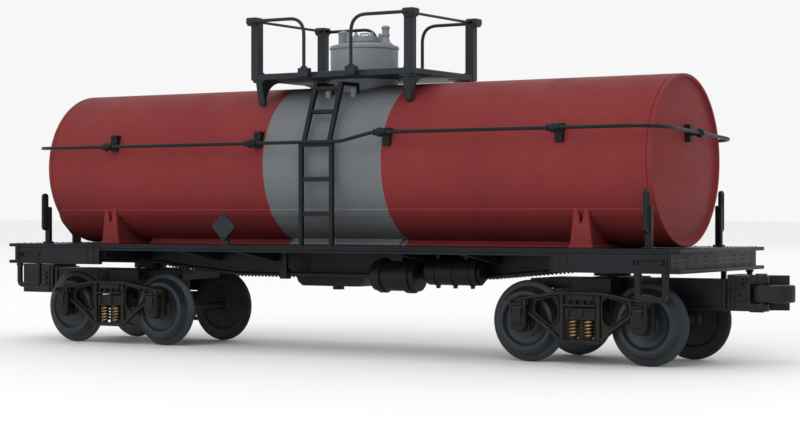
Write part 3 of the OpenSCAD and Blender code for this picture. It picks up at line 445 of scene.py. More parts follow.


# One finish from its values: drift, rubbed edges with a painted highlight, and dust make the colour; grain makes
# gloss and relief.
def makeFinish(name, look, band=None):
    material = bpy.data.materials.new(name)
    material.use_nodes = True
    tree = material.node_tree
    shader = tree.nodes["Principled BSDF"]
    drift = addNode(tree, "ShaderNodeGroup", node_tree=paintDrift)
    drift.inputs["Base"].default_value = colour(*look["base"])
    drift.inputs["Shade"].default_value = colour(*look["shade"])
    drift.inputs["Scale"].default_value = look.get("drift", 60.0)
    shown = drift.outputs[0]
    if band:
        shown = bandedColour(tree, shown, band)
    # Edges are made lighter: partly rubbed wear, partly a painted highlight where they catch the light.
    edge = addNode(tree, "ShaderNodeGroup", node_tree=edgeWearAndHighlight)
    edge.inputs["Radius"].default_value = look.get("edgeSize", 0.0003)
    edge.inputs["Amount"].default_value = look["edge"]
    edgeWornAndLit = addMix(tree, 1.0, shown, (*[look.get("edgeHighlightLift", 1.7)] * 3, 1), "MULTIPLY")
    shown = addMix(tree, edge.outputs[0], shown, edgeWornAndLit)
    dust = addNode(tree, "ShaderNodeGroup", node_tree=shelfDust)
    dust.inputs["Amount"].default_value = look["dust"]
    shown = addMix(tree, dust.outputs[0], shown, dustColour)
    tree.links.new(shown, shader.inputs["Base Color"])
    grain = addNode(tree, "ShaderNodeGroup", node_tree=surfaceGrain)
    grain.inputs["Scale"].default_value = look["grain"]
    grain.inputs["Coarse"].default_value = look.get("coarse", 0.4)
    rough = addRange(tree, grain.outputs["Gloss"], 0.0, 1.0, look["rough"] - 0.06, look["rough"] + 0.08)
    rough = addMaths(tree, "ADD", rough, addMaths(tree, "MULTIPLY", dust.outputs[0], 0.4), True)
    tree.links.new(rough, shader.inputs["Roughness"])
    relief = addNode(tree, "ShaderNodeBump", {"Height": grain.outputs["Height"], "Strength": look["relief"],
                                              "Distance": 0.0001})
    tree.links.new(relief.outputs[0], shader.inputs["Normal"])
    shader.inputs["Metallic"].default_value = look.get("metal", 0.0)
    shader.inputs["Specular IOR Level"].default_value = look.get("shine", 0.5)
    shader.inputs["Coat Weight"].default_value = look.get("coat", 0.0)
    shader.inputs["Coat Roughness"].default_value = 0.3
    return material


# The grey band is masked off by the distance along the tank, with an edge that wanders very little.
def bandedColour(tree, outside, band):
    place = addNode(tree, "ShaderNodeTexCoord").outputs["Object"]
    along = addMaths(tree, "ABSOLUTE", addNode(tree, "ShaderNodeSeparateXYZ", {0: place}).outputs[0])
    wander = addNode(tree, "ShaderNodeTexNoise", {"Vector": place, "Scale": 900.0, "Detail": 2.0}).outputs[0]
    along = addMaths(tree, "ADD", along,
                     addMaths(tree, "MULTIPLY", addMaths(tree, "SUBTRACT", wander, 0.5), 0.00012))
    inside = addRange(tree, along, band["half"] + 0.00008, band["half"] - 0.00008)
    drift = addNode(tree, "ShaderNodeGroup", node_tree=paintDrift)
    drift.inputs["Base"].default_value = colour(*band["base"])
    drift.inputs["Shade"].default_value = colour(*band["shade"])
    return addMix(tree, inside, outside, drift.outputs[0])


# In each look, edge and the edge lift set how far edges are lightened: partly wear, partly a painted highlight,
# strongest on the trucks.
tankLook = {"base": (124, 49, 49), "shade": (116, 44, 46), "drift": 35.0, "edge": 0.25, "dust": 0.04,
            "grain": 2200.0, "coarse": 0.8, "relief": 0.10, "rough": 0.52, "edgeHighlightLift": 1.3, "shine": 0.07}
greyLook = {"base": (122, 127, 133), "shade": (113, 118, 125), "drift": 50.0, "edge": 0.25, "dust": 0.06,
            "grain": 2200.0, "relief": 0.12, "rough": 0.48, "edgeHighlightLift": 1.25, "shine": 0.35}
slateLook = {"base": (32, 38, 44), "shade": (25, 31, 36), "edge": 0.4, "dust": 0.12, "grain": 1700.0,
             "relief": 0.22, "rough": 0.46, "edgeHighlightLift": 2.2, "shine": 0.22}
fittingLook = {"base": (16, 20, 24), "shade": (11, 14, 17), "edge": 0.45, "dust": 0.05, "grain": 1900.0,
               "relief": 0.2, "rough": 0.42, "edgeHighlightLift": 2.8, "shine": 0.2}
frameLook = {"base": (17, 22, 27), "shade": (10, 14, 17), "edge": 0.5, "dust": 0.05, "grain": 1300.0,
             "relief": 0.3, "rough": 0.44, "edgeHighlightLift": 3.0, "shine": 0.2}
truckLook = {"base": (27, 25, 20), "shade": (15, 14, 11), "drift": 120.0, "edge": 0.9, "dust": 0.06,
             "grain": 1100.0, "coarse": 1.2, "relief": 0.4, "rough": 0.44, "edgeHighlightLift": 5.5, "shine": 0.22}
couplerLook = {"base": (22, 25, 29), "shade": (13, 16, 19), "drift": 110.0, "edge": 0.6, "dust": 0.1,
               "grain": 900.0, "coarse": 1.2, "relief": 0.45, "rough": 0.4, "metal": 0.2, "edgeHighlightLift": 3.0,
               "shine": 0.28}
wheelLook = {"base": (42, 47, 52), "shade": (31, 36, 40), "drift": 90.0, "edge": 0.4, "dust": 0.06,
             "grain": 1500.0, "relief": 0.2, "rough": 0.44, "metal": 0.15, "edgeHighlightLift": 2.0, "shine": 0.35}
springLook = {"base": (158, 132, 88), "shade": (104, 82, 54), "drift": 400.0, "edge": 0.3, "dust": 0.05,
              "grain": 2600.0, "relief": 0.2, "rough": 0.34, "metal": 1.0, "edgeHighlightLift": 1.2}
pinLook = {"base": (84, 87, 90), "shade": (56, 59, 63), "drift": 300.0, "edge": 0.4, "dust": 0.08,
           "grain": 2100.0, "relief": 0.25, "rough": 0.36, "metal": 0.9, "edgeHighlightLift": 1.4}
bandPaint = {"half": 0.020, "base": (108, 111, 114), "shade": (100, 104, 107)}

finishes = {
    "tank_red": makeFinish("tankRed", tankLook, bandPaint),
    "dome_grey": makeFinish("domeGrey", greyLook),
    "platform_slate": makeFinish("platformSlate", slateLook),
    "fittings_black": makeFinish("fittingsBlack", fittingLook),
    "frame_black": makeFinish("frameBlack", frameLook),
    "truck_iron": makeFinish("truckIron", truckLook),
    "coupler_metal": makeFinish("couplerMetal", couplerLook),
    "spring_brass": makeFinish("springBrass", springLook),
    "wheel_metal": makeFinish("wheelMetal", wheelLook),
    "pin_steel": makeFinish("pinSteel", pinLook),
}

for part in frame["record"]["subparts"]:
    materials = frame["nodes"][part["node"]].data.materials
    materials.clear()
    materials.append(finishes[part["material_slot"]])
print("finishes made:", len(finishes))


tank = {"stripRise": 0.25, "stripHalf": 3.5, "stripAngle": 37.0, "shoulder": 0.5, "groove": 0.06,
        "rim": 1.05, "dish": 1.0}


# The barrel: a ring of points at each station along X. The radius is the tank's, more inside the two
# lap strips below the side line, with soft shoulders, and less in the groove beside each head.
def tankShell():
    spread = np.linspace(-tank["stripHalf"] - 1, tank["stripHalf"] + 1, 19)
    strips = (-tank["stripAngle"], 180 + tank["stripAngle"])
    angle = np.unique(np.concatenate([np.linspace(-180, 179, 180) + 90, *[s + spread for s in strips]]))
    nearest = np.min([np.abs(angle - s) for s in strips], axis=0)
    t = np.clip((tank["stripHalf"] - nearest) / tank["shoulder"], 0, 1)
    rise = tank["stripRise"] * t * t * (3 - 2 * t)
    station = np.concatenate([[barrelEnd, barrelEnd, barrelEnd - 0.12, barrelEnd - 0.3],
                              np.linspace(barrelEnd - 0.5, 2, 22)])
    station = np.concatenate([station, -station[::-1]])
    share = np.concatenate([[0.0, 1.0, 1.0], np.ones(23)])
    share = np.concatenate([share, share[::-1]])
    drop = np.concatenate([[0, tank["groove"], tank["groove"] * 0.8], np.zeros(23)])
    drop = np.concatenate([drop, drop[::-1]])
    radius = (tankRadius + rise[None, :] - drop[:, None]) * share[:, None]
    turn = np.radians(angle)
    points = np.stack([np.broadcast_to(station[:, None], radius.shape), radius * np.cos(turn),
                       tankZ + radius * np.sin(turn)], axis=-1)
    return points.reshape(-1, 3), gridFaces(len(station), len(angle))


# A head: a rim with a soft corner, a step down, a fillet, and a shallow dish that rises as one less
# the square of the distance from the centre.
def tankHead():
    lip = tankRadius - tank["rim"]
    floorX = barrelEnd + 0.5
    radius = np.linspace(lip - 0.55, 0, 14)
    dish = np.stack([floorX + tank["dish"] * (1 - (radius / lip) ** 2), radius], axis=1)
    rim = softened([[barrelEnd - 0.2, 0], [barrelEnd - 0.2, tankRadius - 0.3],
                    [barrelEnd + 0.1, tankRadius - 0.3], [barrelEnd + 0.2, tankRadius],
                    [headEnd, tankRadius], [headEnd, lip + 0.15], [floorX + 0.15, lip - 0.1], dish[0]],
                   [0, 0, 0.05, 0.1, 0.45, 0.3, 0.35, 0], 5, closed=False)
    return turned(np.concatenate([rim, dish[1:]]), (0, 0, tankZ), (1, 0, 0), 128)


# Saddles: a forked outline and a plainer one behind it, given their thickness on both sides, with a
# block between. The fork ends where the tank's circle stands at that side: the centre's height less
# the square root of the radius squared less the side squared.
def saddleShapes():
    shapes = []
    boxes = solidBoxes("tank_saddles")
    for sign in (-1, 1):
        own = [b for b in boxes if b[0][0] * sign > 0]
        low, high = np.min([b[0] for b in own], axis=0), np.max([b[1] for b in own], axis=0)
        mid, foot, side, z0 = (low[0] + high[0]) / 2, (high[0] - low[0]) / 2, high[1], low[2]
        z1 = tankZ - np.sqrt(tankRadius ** 2 - side ** 2) - 0.1
        top = foot * 0.64
        fork = [[-foot, z0], [foot, z0], [foot - 0.15, z0 + 1.1], [top, z1], [1.0, z1], [0.3, z1 - 4.2],
                [-0.3, z1 - 4.2], [-1.0, z1], [-top, z1], [-foot + 0.15, z0 + 1.1]]
        outline = softened(fork, [0.2, 0.2, 0.6, 0.35, 0.35, 0.3, 0.3, 0.35, 0.35, 0.6], 3) + [mid, 0]
        backing = softened([[-foot + 0.5, z0], [foot - 0.5, z0], [0.9, z1 - 3.4], [-0.9, z1 - 3.4]], 0.2,
                           2) + [mid, 0]
        for near in (-1, 1):
            shapes.append(softSlab([outline], *ordered(near, side - 1.5, side), "xz", 0.22, 3))
            shapes.append(softSlab([backing], *ordered(near, side - 3.2, side - 1.2), "xz", 0.2))
        shapes.append(softBlock((mid - top + 0.1, -side + 2.4, z0),
                                (mid + top - 0.1, side - 2.4, z1 - 1.0), 0.25))
        shapes.append(softBlock((mid - foot - 0.3, -side - 0.3, z0 - 0.02),
                                (mid + foot + 0.3, side + 0.3, z0 + 0.75), 0.2))
    return shapes


red = finishes["tank_red"]
makePiece("tankShell", [tankShell()], red, "car_body", ("tank_barrel",))
head = tankHead()
makePiece("tankHeadFront", [head], red, "car_body", ("tank_head_front",))
makePiece("tankHeadRear", [scaledBy(head, (-1, 1, 1))], red, "car_body", ("tank_head_rear",))
makePiece("tankSaddles", saddleShapes(), red, "car_body", ("tank_saddles",))


# Ledge angles along the belly: an L carried straight along X, with a row of small bolts under it.
def ledgeShapes():
    shapes = []
    for low, high in solidBoxes("tank_base_rails"):
        out = 1 if high[1] > 0 else -1
        edge = max(abs(low[1]), abs(high[1]))
        z0, z1 = low[2], high[2]
        rail = [[edge - 0.9, z0], [edge - 0.9, z0 + 0.55], [edge - 2.0, z0 + 0.75], [edge - 2.8, z1 - 0.3],
                [edge - 4, z1 - 0.3], [edge - 4, z0]]
        pad = [[edge, z0], [edge, z0 + 0.9], [edge - 1.2, z0 + 1.2], [edge - 1.4, z1 - 0.2],
               [edge - 3.4, z1 - 0.2], [edge - 3.4, z0]]
        shapes.append(softSlab([softened(rail, 0.14, 2) * [out, 1]], low[0], high[0], "yz", 0.15))
        band = bandPaint["half"] / mm - 1.5
        shapes.append(softSlab([softened(pad, 0.3, 3) * [out, 1]], -band, band, "yz", 0.25, 3))
        x = np.linspace(-band + 1, band - 1, 24)
        bolts = np.stack([x, np.full(24, out * edge), np.full(24, z0 + 0.35)], axis=1)
        shapes.append(heads(bolts, (0, out, 0), 0.3, 0.28))
    return shapes


makePiece("tankLedges", ledgeShapes(), red, "car_body", ("tank_base_rails",))
print("tank done")


dome = {"ringOut": 0.25, "ringDrop": 1.0, "ringTall": 0.7, "crown": 1.35, "lugs": 6}
domeHigh = corners("dome")[1]
domeRadius = domeHigh[0] - dome["ringOut"]
rimZ = domeHigh[2] - dome["crown"]


# Height of the dome's crown: it falls with the square of the radius.
def crownAt(radius):
    return rimZ + dome["crown"] * (1 - (radius / domeRadius) ** 2)


# The dome's side with its ring and a groove, then the crown: one less the square of the radius.
def domeShell():
    r = domeRadius
    ring = rimZ - dome["ringDrop"]
    side = softened([[tankZ + 14, 0], [tankZ + 14, r], [ring - 0.25, r], [ring - 0.15, r - 0.12],
                     [ring, r - 0.12], [ring, r + dome["ringOut"]],
                     [ring + dome["ringTall"], r + dome["ringOut"]], [ring + dome["ringTall"], r], [rimZ, r],
                     [crownAt(r - 0.8), r - 0.8]],
                    [0, 0, 0.1, 0.05, 0.03, 0.12, 0.12, 0.06, 0.35, 0], 3, closed=False)
    radius = np.linspace(r - 1.2, 0, 12)
    return turned(np.concatenate([side, np.stack([crownAt(radius), radius], axis=1)]), (0, 0, 0),
                  (0, 0, 1), 96)


# The hatch: a stepped lid turned about Z, six-sided studs at equal angles on a circle inside its rim,
# and a handle that is a circle carried along a U.
def hatchShapes():
    r = corners("dome_cover")[1][0]
    z = domeHigh[2] - 0.3
    lid = softened([[z, 0], [z, r], [z + 0.55, r], [z + 0.6, r - 0.25], [z + 1.55, r - 0.35],
                    [z + 1.75, r - 1.6], [z + 1.75, 2.1], [z + 2.1, 1.9], [z + 2.2, 0]],
                   [0, 0.1, 0.1, 0.08, 0.35, 0.3, 0.2, 0.2, 0], 4, closed=False)
    shapes = [turned(lid, (0, 0, 0), (0, 0, 1), 72)]
    for turn in np.radians(30 + 60 * np.arange(dome["lugs"])):
        x, y = (r - 0.75) * np.cos(turn), (r - 0.75) * np.sin(turn)
        stud = softened([[z + 0.4, 0], [z + 0.4, 0.85], [z + 1.9, 0.8], [z + 2.0, 0.5], [z + 2.75, 0.45],
                         [z + 2.85, 0]],
                        [0, 0.1, 0.15, 0.1, 0.15, 0], 2, closed=False)
        shapes.append(turned(stud, (x, y, 0), (0, 0, 1), 6))
    handle = softened([[-1.5, 0, z + 1.9], [-1.4, 0, z + 2.75], [1.4, 0, z + 2.75], [1.5, 0, z + 1.9]],
                      0.4, 4, False)
    shapes.append(carried(handle, roundProfile(0.22, 8), (0, 1, 0)))
    return shapes


# The valve is turned about Z. Its foot flares: the height grows as a share to the power 1.8 while the
# radius shrinks as the same share to the power 0.55. The boss on the other side is a plain turning.
def valveShapes():
    high = corners("dome_fittings")[1]
    x, top = high[0] - 1.55, high[2]
    base = crownAt(x) - 0.45
    flare = np.linspace(0, 1, 8)[:, None]
    curve = np.concatenate([base + 0.25 + 1.5 * flare ** 1.8, 2.15 - 1.05 * flare ** 0.55], axis=1)
    upper = softened([curve[-1], [top - 3.2, 0.98], [top - 3.0, 1.25], [top - 2.5, 1.25], [top - 2.3, 1.02],
                      [top - 1.0, 1.08], [top - 0.75, 1.3], [top - 0.45, 1.3], [top, 0.75], [top, 0]],
                     [0, 0.1, 0.1, 0.1, 0.1, 0.1, 0.08, 0.15, 0.25, 0], 3, closed=False)
    profile = np.concatenate([[[base - 0.6, 0], [base - 0.6, 2.3], [base + 0.1, 2.3]], curve, upper[1:]])
    shapes = [turned(profile, (x, 0, 0), (0, 0, 1), 32)]
    ring = np.radians(60 * np.arange(6))
    feet = np.stack([x + 1.8 * np.cos(ring), 1.8 * np.sin(ring), np.full(6, base + 0.3)], axis=1)
    shapes.append(heads(feet, (0, 0, 1), 0.26, 0.3, 6))
    z = rimZ + 4.75
    boss = softened([[base - 0.6, 0], [base - 0.6, 1.95], [base + 0.35, 1.95], [base + 0.6, 1.5],
                     [z - 0.9, 1.5], [z - 0.75, 1.62], [z - 0.3, 1.62], [z, 1.25], [z, 0]],
                    [0, 0.1, 0.15, 0.3, 0.06, 0.06, 0.1, 0.15, 0], 3, closed=False)
    shapes.append(turned(boss, (-x, 0, 0), (0, 0, 1), 32))
    shapes.append(heads([[-x, 0, z]], (0, 0, 1), 0.7, 0.5, 6))
    return shapes


grey = finishes["dome_grey"]
makePiece("domeShell", [domeShell()], grey, "car_body", ("dome",))
makePiece("domeHatch", hatchShapes(), grey, "car_body", ("dome_cover",))
makePiece("domeValves", valveShapes(), grey, "car_body", ("dome_fittings",))
lugBoxes = solidBoxes("ladder_lugs")
makePiece("ladderLugs", [softBlock(a, b, 0.28, 3) for a, b in lugBoxes], grey, "car_body",
          ("ladder_lugs",))
print("dome done")


platform = {"edge": 0.28, "hole": 0.7, "treadPitch": 2.2, "treadRise": 0.14, "capTall": 2.0, "post": 2.5,
            "railRadius": 0.5, "endRadius": 0.4, "railBend": 4.0, "gap": 8.0}
slabLow, slabHigh = corners("platform_deck")


# Deck slab with its round hole, and small raised bars laid in a crossed pattern on top.
def deckShapes():
    x, y = slabHigh[0], slabHigh[1]
    turn = np.linspace(0, 2 * np.pi, 72, endpoint=False)
    hole = (domeRadius + platform["hole"]) * np.stack([np.cos(turn), np.sin(turn)], axis=1)
    edge = softened([[-x, -y], [x, -y], [x, y], [-x, y]], 0.35, 3)
    shapes = [softSlab([edge, hole], slabLow[2], slabHigh[2], "xy", platform["edge"], 3)]
    pitch = platform["treadPitch"]
    a, b = np.meshgrid(np.arange(-x + 2.6, x - 2.4, pitch), np.arange(-y + 2.6, y - 2.4, pitch),
                       indexing="ij")
    flip = (np.round((a + b) / pitch) % 2 * 2 - 1).ravel()
    centre = np.stack([a.ravel(), b.ravel()], axis=1)
    free = np.linalg.norm(centre, axis=1) > domeRadius + platform["hole"] + 1.3
    centre, flip = centre[free], flip[free]
    long, short = np.array([0.62, 0.62]), np.array([0.17, 0.17])
    lengthwise = np.stack([long[0] * np.ones_like(flip), long[1] * flip], axis=1)
    crosswise = np.stack([-short[0] * flip, short[1] * np.ones_like(flip)], axis=1)
    z = slabHigh[2]
    low = np.stack([centre + lengthwise, centre + crosswise, centre - lengthwise,
                    centre - crosswise], axis=1)
    low = np.concatenate([low, np.full(low.shape[:2] + (1,), z - 0.03)], axis=2)
    top = np.stack([centre + 0.6 * lengthwise, centre - 0.6 * lengthwise], axis=1)
    top = np.concatenate([top, np.full(top.shape[:2] + (1,), z + platform["treadRise"])], axis=2)
    bars = np.concatenate([low, top], axis=1)
    one = [[0, 1, 4], [1, 2, 5, 4], [2, 3, 5], [3, 0, 4, 5], [3, 2, 1, 0]]
    shapes.append((bars.reshape(-1, 3), [[c + 6 * n for c in f] for n in range(len(bars)) for f in one]))
    return shapes


# Corner brackets: a straight outer edge, a blunt tip, and an inner edge on a quarter of an ellipse.
def bracketShapes():
    shapes = []
    turn = np.linspace(0, np.pi / 2, 9)
    for low, high in solidBoxes("platform_brackets"):
        side = 1 if high[1] > 0 else -1
        y, top, tip = slabHigh[1] - 0.15, slabLow[2] + 0.3, low[2]
        inner = np.stack([y - 2.9 - 8.2 * (1 - np.cos(turn)), tip + 1.2 + (top - tip - 1.7) * np.sin(turn)],
                         axis=1)
        outline = np.concatenate([[[y, top], [y - 1.7, tip + 0.5], [y - 2.0, tip + 0.1], [y - 2.4, tip],
                                   [y - 2.8, tip + 0.2]], inner, [[y - 11.1, top]]])
        flip = np.array([side, 1.0])
        shapes.append(softSlab([outline * flip], low[0] - 0.1, high[0] + 0.1, "yz", 0.3, 3))
        y0, y1 = ordered(side, y - 3.2, y)
        shapes.append(softBlock((low[0] - 0.9, y0, top - 1.0), (high[0] + 0.9, y1, top), 0.25))
    return shapes


# Posts: soft blocks one inside another for the shaft, the cap, the step under the cap and the foot.
def postShapes():
    shapes = []
    for low, high in solidBoxes("platform_posts"):
        signs = np.where(low[:2] + high[:2] > 0, 1, -1)
        inner = np.where(signs > 0, low[:2], high[:2])
        outer = inner + signs * (platform["post"] + 0.2)
        a, b = np.minimum(inner, outer), np.maximum(inner, outer)
        shapes.append(softBlock((*a, slabLow[2] - 0.02), (*b, high[2] - 0.5), 0.3, 3))
        capLow, capHigh = low.copy(), high.copy()
        capLow[2] = high[2] - platform["capTall"]
        shapes.append(softBlock(capLow, capHigh, 0.5, 4))
        shapes.append(softBlock((*(capLow[:2] + 0.3), capLow[2] - 0.4),
                                (*(capHigh[:2] - 0.3), capHigh[2] - 0.6), 0.25))
        foot = np.array([[*(a - 0.25), slabHigh[2] - 0.1], [*(b + 0.25), slabHigh[2] + 0.6]])
        foot[:, :2] = np.clip(foot[:, :2], -slabHigh[:2], slabHigh[:2])
        shapes.append(softBlock(foot[0], foot[1], 0.2))
    return shapes


# Guard rails: a circle carried along a level line that bends down to the deck on a parabola. The rails
# across the ends are straight. Each foot is a soft block with a collar turned about Z.
def guardShapes():
    shapes = []
    postX, r = slabHigh[0] - platform["post"] / 2, platform["railRadius"]
    for low, high in solidBoxes("platform_rails"):
        z = high[2] - r
        if low[0] * high[0] < 0 or high[1] - low[1] > 10:
            x = (low[0] + high[0]) / 2
            ends = slabHigh[1] - platform["post"] + 0.5
            path = np.stack([np.full(9, x), np.linspace(-ends, ends, 9), np.full(9, z)], axis=1)
            shapes.append(carried(path, roundProfile(platform["endRadius"]), (0, 0, 1)))
            continue
        across = 1 if high[0] > 0 else -1
        side = 1 if high[1] > 0 else -1
        y = side * (max(abs(low[1]), abs(high[1])) - 0.4 - r)
        x = across * platform["gap"]
        bend = softened([[across * (postX + 0.6), y, z], [x, y, z], [x, y, slabHigh[2] - 0.6]],
                        platform["railBend"] * 1.25, 12, closed=False)
        straight = [bend[0] + (bend[1] - bend[0]) * t for t in (0, 0.33, 0.66)]
        shapes.append(carried(np.concatenate([straight, bend[1:]]), roundProfile(r), (0, 1, 0)))
        outer = side * max(abs(low[1]), abs(high[1]))
        a, b = sorted((side * (slabHigh[1] - 0.3), outer))
        shapes.append(softBlock((x - 1.7, a, slabLow[2] + 0.2), (x + 1.7, b, slabHigh[2] + 1.1), 0.35, 3))
        collar = [[0, 0], [0, 1.0], [0.5, 0.9], [0.7, r], [0.7, 0]]
        shapes.append(turned(softened(collar, [0, 0.1, 0.2, 0.1, 0], 2, False), (x, y, slabHigh[2] + 1.0),
                             (0, 0, 1), 20))
    return shapes


slate = finishes["platform_slate"]
makePiece("platformDeck", deckShapes(), slate, "car_body", ("platform_deck",))
makePiece("platformBrackets", bracketShapes(), slate, "car_body", ("platform_brackets",))
makePiece("platformPosts", postShapes(), slate, "car_body", ("platform_posts",))
makePiece("platformRails", guardShapes(), slate, "car_body", ("platform_rails",))
print("platform done")


# Trucks are drawn round their own centre, with the coupler towards +X and the near side at -Y. The
# rear one is the front one turned half round.
pivots = {j["name"]: np.array(j["pos_m"]) / mm for j in frame["joints"]}
truckX = pivots["front_truck_swivel"][0]
axleZ = pivots["front_outer_axle_spin"][2]
halfBase = pivots["front_outer_axle_spin"][0] - truckX
frameLow, frameHigh = corners("front_side_frame_near")
springLow, springHigh = corners("front_springs")
truck = {"web": 1.2, "rib": 1.0, "chordWide": 0.9, "opening": 4.7, "rimWide": 0.45, "journalHalf": 2.4,
         "coilWire": 0.3, "coils": 5}


# Takes a shape drawn round the truck's centre to its place on the car.
def atTruck(shape, rear=False):
    shape = moved(shape, (truckX, 0, 0))
    return quarterTurned(shape, 2) if rear else shape


def mirroredY(shape):
    return scaledBy(shape, (1, -1, 1))


# The near side frame: a plate whose top is a low arch and whose lower chord steps down to the spring
# plank, with two windows and the spring opening cut through it, and ribs along both chords.
def sideFrameShapes():
    inside, crown, plank = frameHigh[1], frameHigh[2], frameLow[2]
    face = inside - truck["web"]
    reach = halfBase + 3.4
    arch = softened([[-reach, crown - 2.8], [-halfBase + 2.4, crown - 1.9], [-6.4, crown - 0.3],
                     [6.4, crown - 0.3], [halfBase - 2.4, crown - 1.9], [reach, crown - 2.8]],
                    [0, 2.5, 2.5, 2.5, 2.5, 0], 6, False)
    belly = softened([[-halfBase + 2.4, axleZ + 1.9], [-8.9, axleZ - 2.2], [-5.6, plank], [5.6, plank],
                      [8.9, axleZ - 2.2], [halfBase - 2.4, axleZ + 1.9]],
                     [0, 1.2, 0.8, 0.8, 1.2, 0], 4, False)
    ends = [[reach, axleZ - 2.2], [halfBase - 2.4, axleZ - 2.2]]
    outline = np.concatenate([arch, ends, belly[::-1], np.array(ends[::-1]) * [-1, 1]])
    window = softened([[halfBase - 4.0, axleZ + 2.9], [halfBase - 4.6, axleZ + 5.6], [7.4, crown - 1.8],
                       [6.5, crown - 2.6], [6.5, axleZ + 0.9], [8.5, axleZ - 0.8]],
                      [1.2, 0.9, 0.7, 0.6, 1.4, 0.7], 4)
    pocket = softened([[-4.4, plank + 1.0], [4.4, plank + 1.0], [4.4, axleZ + 4.3],
                       [-4.4, axleZ + 4.3]], 0.4, 3)
    mirror = window[::-1] * [-1, 1]
    shapes = [softSlab([outline, window, mirror, pocket], face, inside, "xz", 0.15)]
    for hole in (window, mirror):
        rim = movedIn(hole, -truck["rimWide"] * np.sign(windingArea(hole)))
        shapes.append(softSlab([rim, hole], face - 0.55, face + 0.1, "xz", 0.16, 3))
    half = truck["chordWide"] / 2
    for line, rise, deep in ((arch, -half, truck["rib"] + 0.3), (belly, half, truck["rib"])):
        path = np.stack([line[:, 0], np.full(len(line), face - deep / 2 + 0.1), line[:, 1] + rise], axis=1)
        shapes.append(carried(path, barProfile(truck["chordWide"], deep + 0.2, 0.3), (0, 1, 0)))
    for side in (-1, 1):
        x = ordered(side, truck["opening"], truck["opening"] + 1.15)
        shapes.append(softBlock((x[0], face - 0.75, plank + 0.4), (x[1], face + 0.1, crown - 0.6), 0.25))
        rivets = [[side * (truck["opening"] + 0.57), face - 0.75, z]
                  for z in (crown - 1.9, crown - 3.5, axleZ + 0.6)]
        shapes.append(heads(rivets, (0, -1, 0), 0.34, 0.3))
    ledge = axleZ + 4.35
    shapes.append(softBlock((-4.9, face - 1.35, ledge), (4.9, face + 0.1, ledge + 0.75), 0.25))
    shapes.append(softBlock((-3.9, face - 0.4, ledge + 1.5), (3.9, face + 0.1, crown - 1.1), 0.3))
    for x in (-3.2, -1.1, 1.1, 3.2):
        shapes.append(softBlock((x - 0.22, face - 1.0, ledge + 0.6),
                                (x + 0.22, face + 0.1, ledge + 1.7), 0.12))
    shapes.append(softBlock((-6.0, face - 1.35, plank - 0.1), (6.0, face + 0.4, plank + 1.0), 0.3))
    shapes.append(heads([[x, face - 1.35, plank + 0.45] for x in (-4.6, -1.55, 1.55, 4.6)],
                        (0, -1, 0), 0.3, 0.25))
    for x in (-2.2, 2.2):
        core = [[plank + 0.9, 0], [plank + 0.9, 0.8], [springHigh[2] + 0.3, 0.8], [springHigh[2] + 0.3, 0]]
        shapes.append(turned(core, (x, (inside + face) / 2 - 0.1, 0), (0, 0, 1), 16))
    shapes.append(softBlock((-0.5, inside - 0.5, plank + 0.8), (0.5, inside, axleZ + 1.2), 0.1))
    return shapes


# A journal box: rounded body over a round bottom, a lid with a bead round it, a hinge and bolts.
def journalShapes(x):
    lid, inside = frameLow[1], frameHigh[1]
    half = truck["journalHalf"]
    shapes = [softBlock((x - half, lid + 0.35, axleZ - 0.9), (x + half, inside - 0.6, axleZ + 5.3), 0.55, 4)]
    bottom = softened([[0, 0], [0, 2.15], [2.4, 2.35], [2.4, 0]], [0, 0.5, 0, 0], 4, False)
    shapes.append(turned(bottom, (x, lid + 0.8, axleZ - 0.5), (0, 1, 0), 32))
    turn = np.linspace(np.pi, 2 * np.pi, 11)
    plate = np.concatenate([[[half - 0.5, 4.3], [-half + 0.5, 4.3]],
                            np.stack([(half - 0.5) * np.cos(turn), 0.5 + 1.2 * np.sin(turn)], axis=1)])
    plate = softened(plate, 0.3, 3) + [x, axleZ]
    if windingArea(plate) < 0:
        plate = plate[::-1]
    shapes.append(softSlab([plate], lid, lid + 0.6, "xz", 0.2, 3))
    shapes.append(softSlab([movedIn(plate, 0.55)], lid - 0.22, lid + 0.2, "xz", 0.16, 3))
    hinge = softened([[-1.5, 0], [-1.5, 0.42], [1.5, 0.42], [1.5, 0]], [0, 0.12, 0.12, 0], 2, False)
    shapes.append(turned(hinge, (x, lid + 0.25, axleZ + 4.75), (1, 0, 0), 14))
    for side in (-1, 1):
        shapes.append(softBlock((x + side * 2.15 - 0.45, lid + 0.1, axleZ + 4.5),
                                (x + side * 2.15 + 0.45, lid + 1.6, axleZ + 5.75), 0.2))
        shapes.append(heads([[x + side * 2.15, lid + 0.5, axleZ + 5.7]], (0, 0, 1), 0.42, 0.6, 6))
    shapes.append(softBlock((x - half - 0.5, inside - 2.9, axleZ + 4.6),
                            (x + half + 0.5, inside - 0.5, axleZ + 5.8), 0.3))
    return shapes


# Springs: a circle carried along a helix, which rises evenly with its angle.
def coilShapes():
    turn = np.linspace(0, 2 * np.pi * truck["coils"], 20 * truck["coils"] + 1)
    radius = (springHigh[0] - truckX) - 2.2 - truck["coilWire"]
    rise = np.linspace(springLow[2] + 0.3, springHigh[2] - 0.3, len(turn))
    shapes = []
    for x in (-2.2, 2.2):
        for side in (-1, 1):
            mid = side * (abs(springHigh[1]) - radius - truck["coilWire"])
            path = np.stack([x + radius * np.cos(turn), mid + radius * np.sin(turn), rise], axis=1)
            shapes.append(carried(path, roundProfile(truck["coilWire"], 8), (0, 0, 1)))
    return shapes


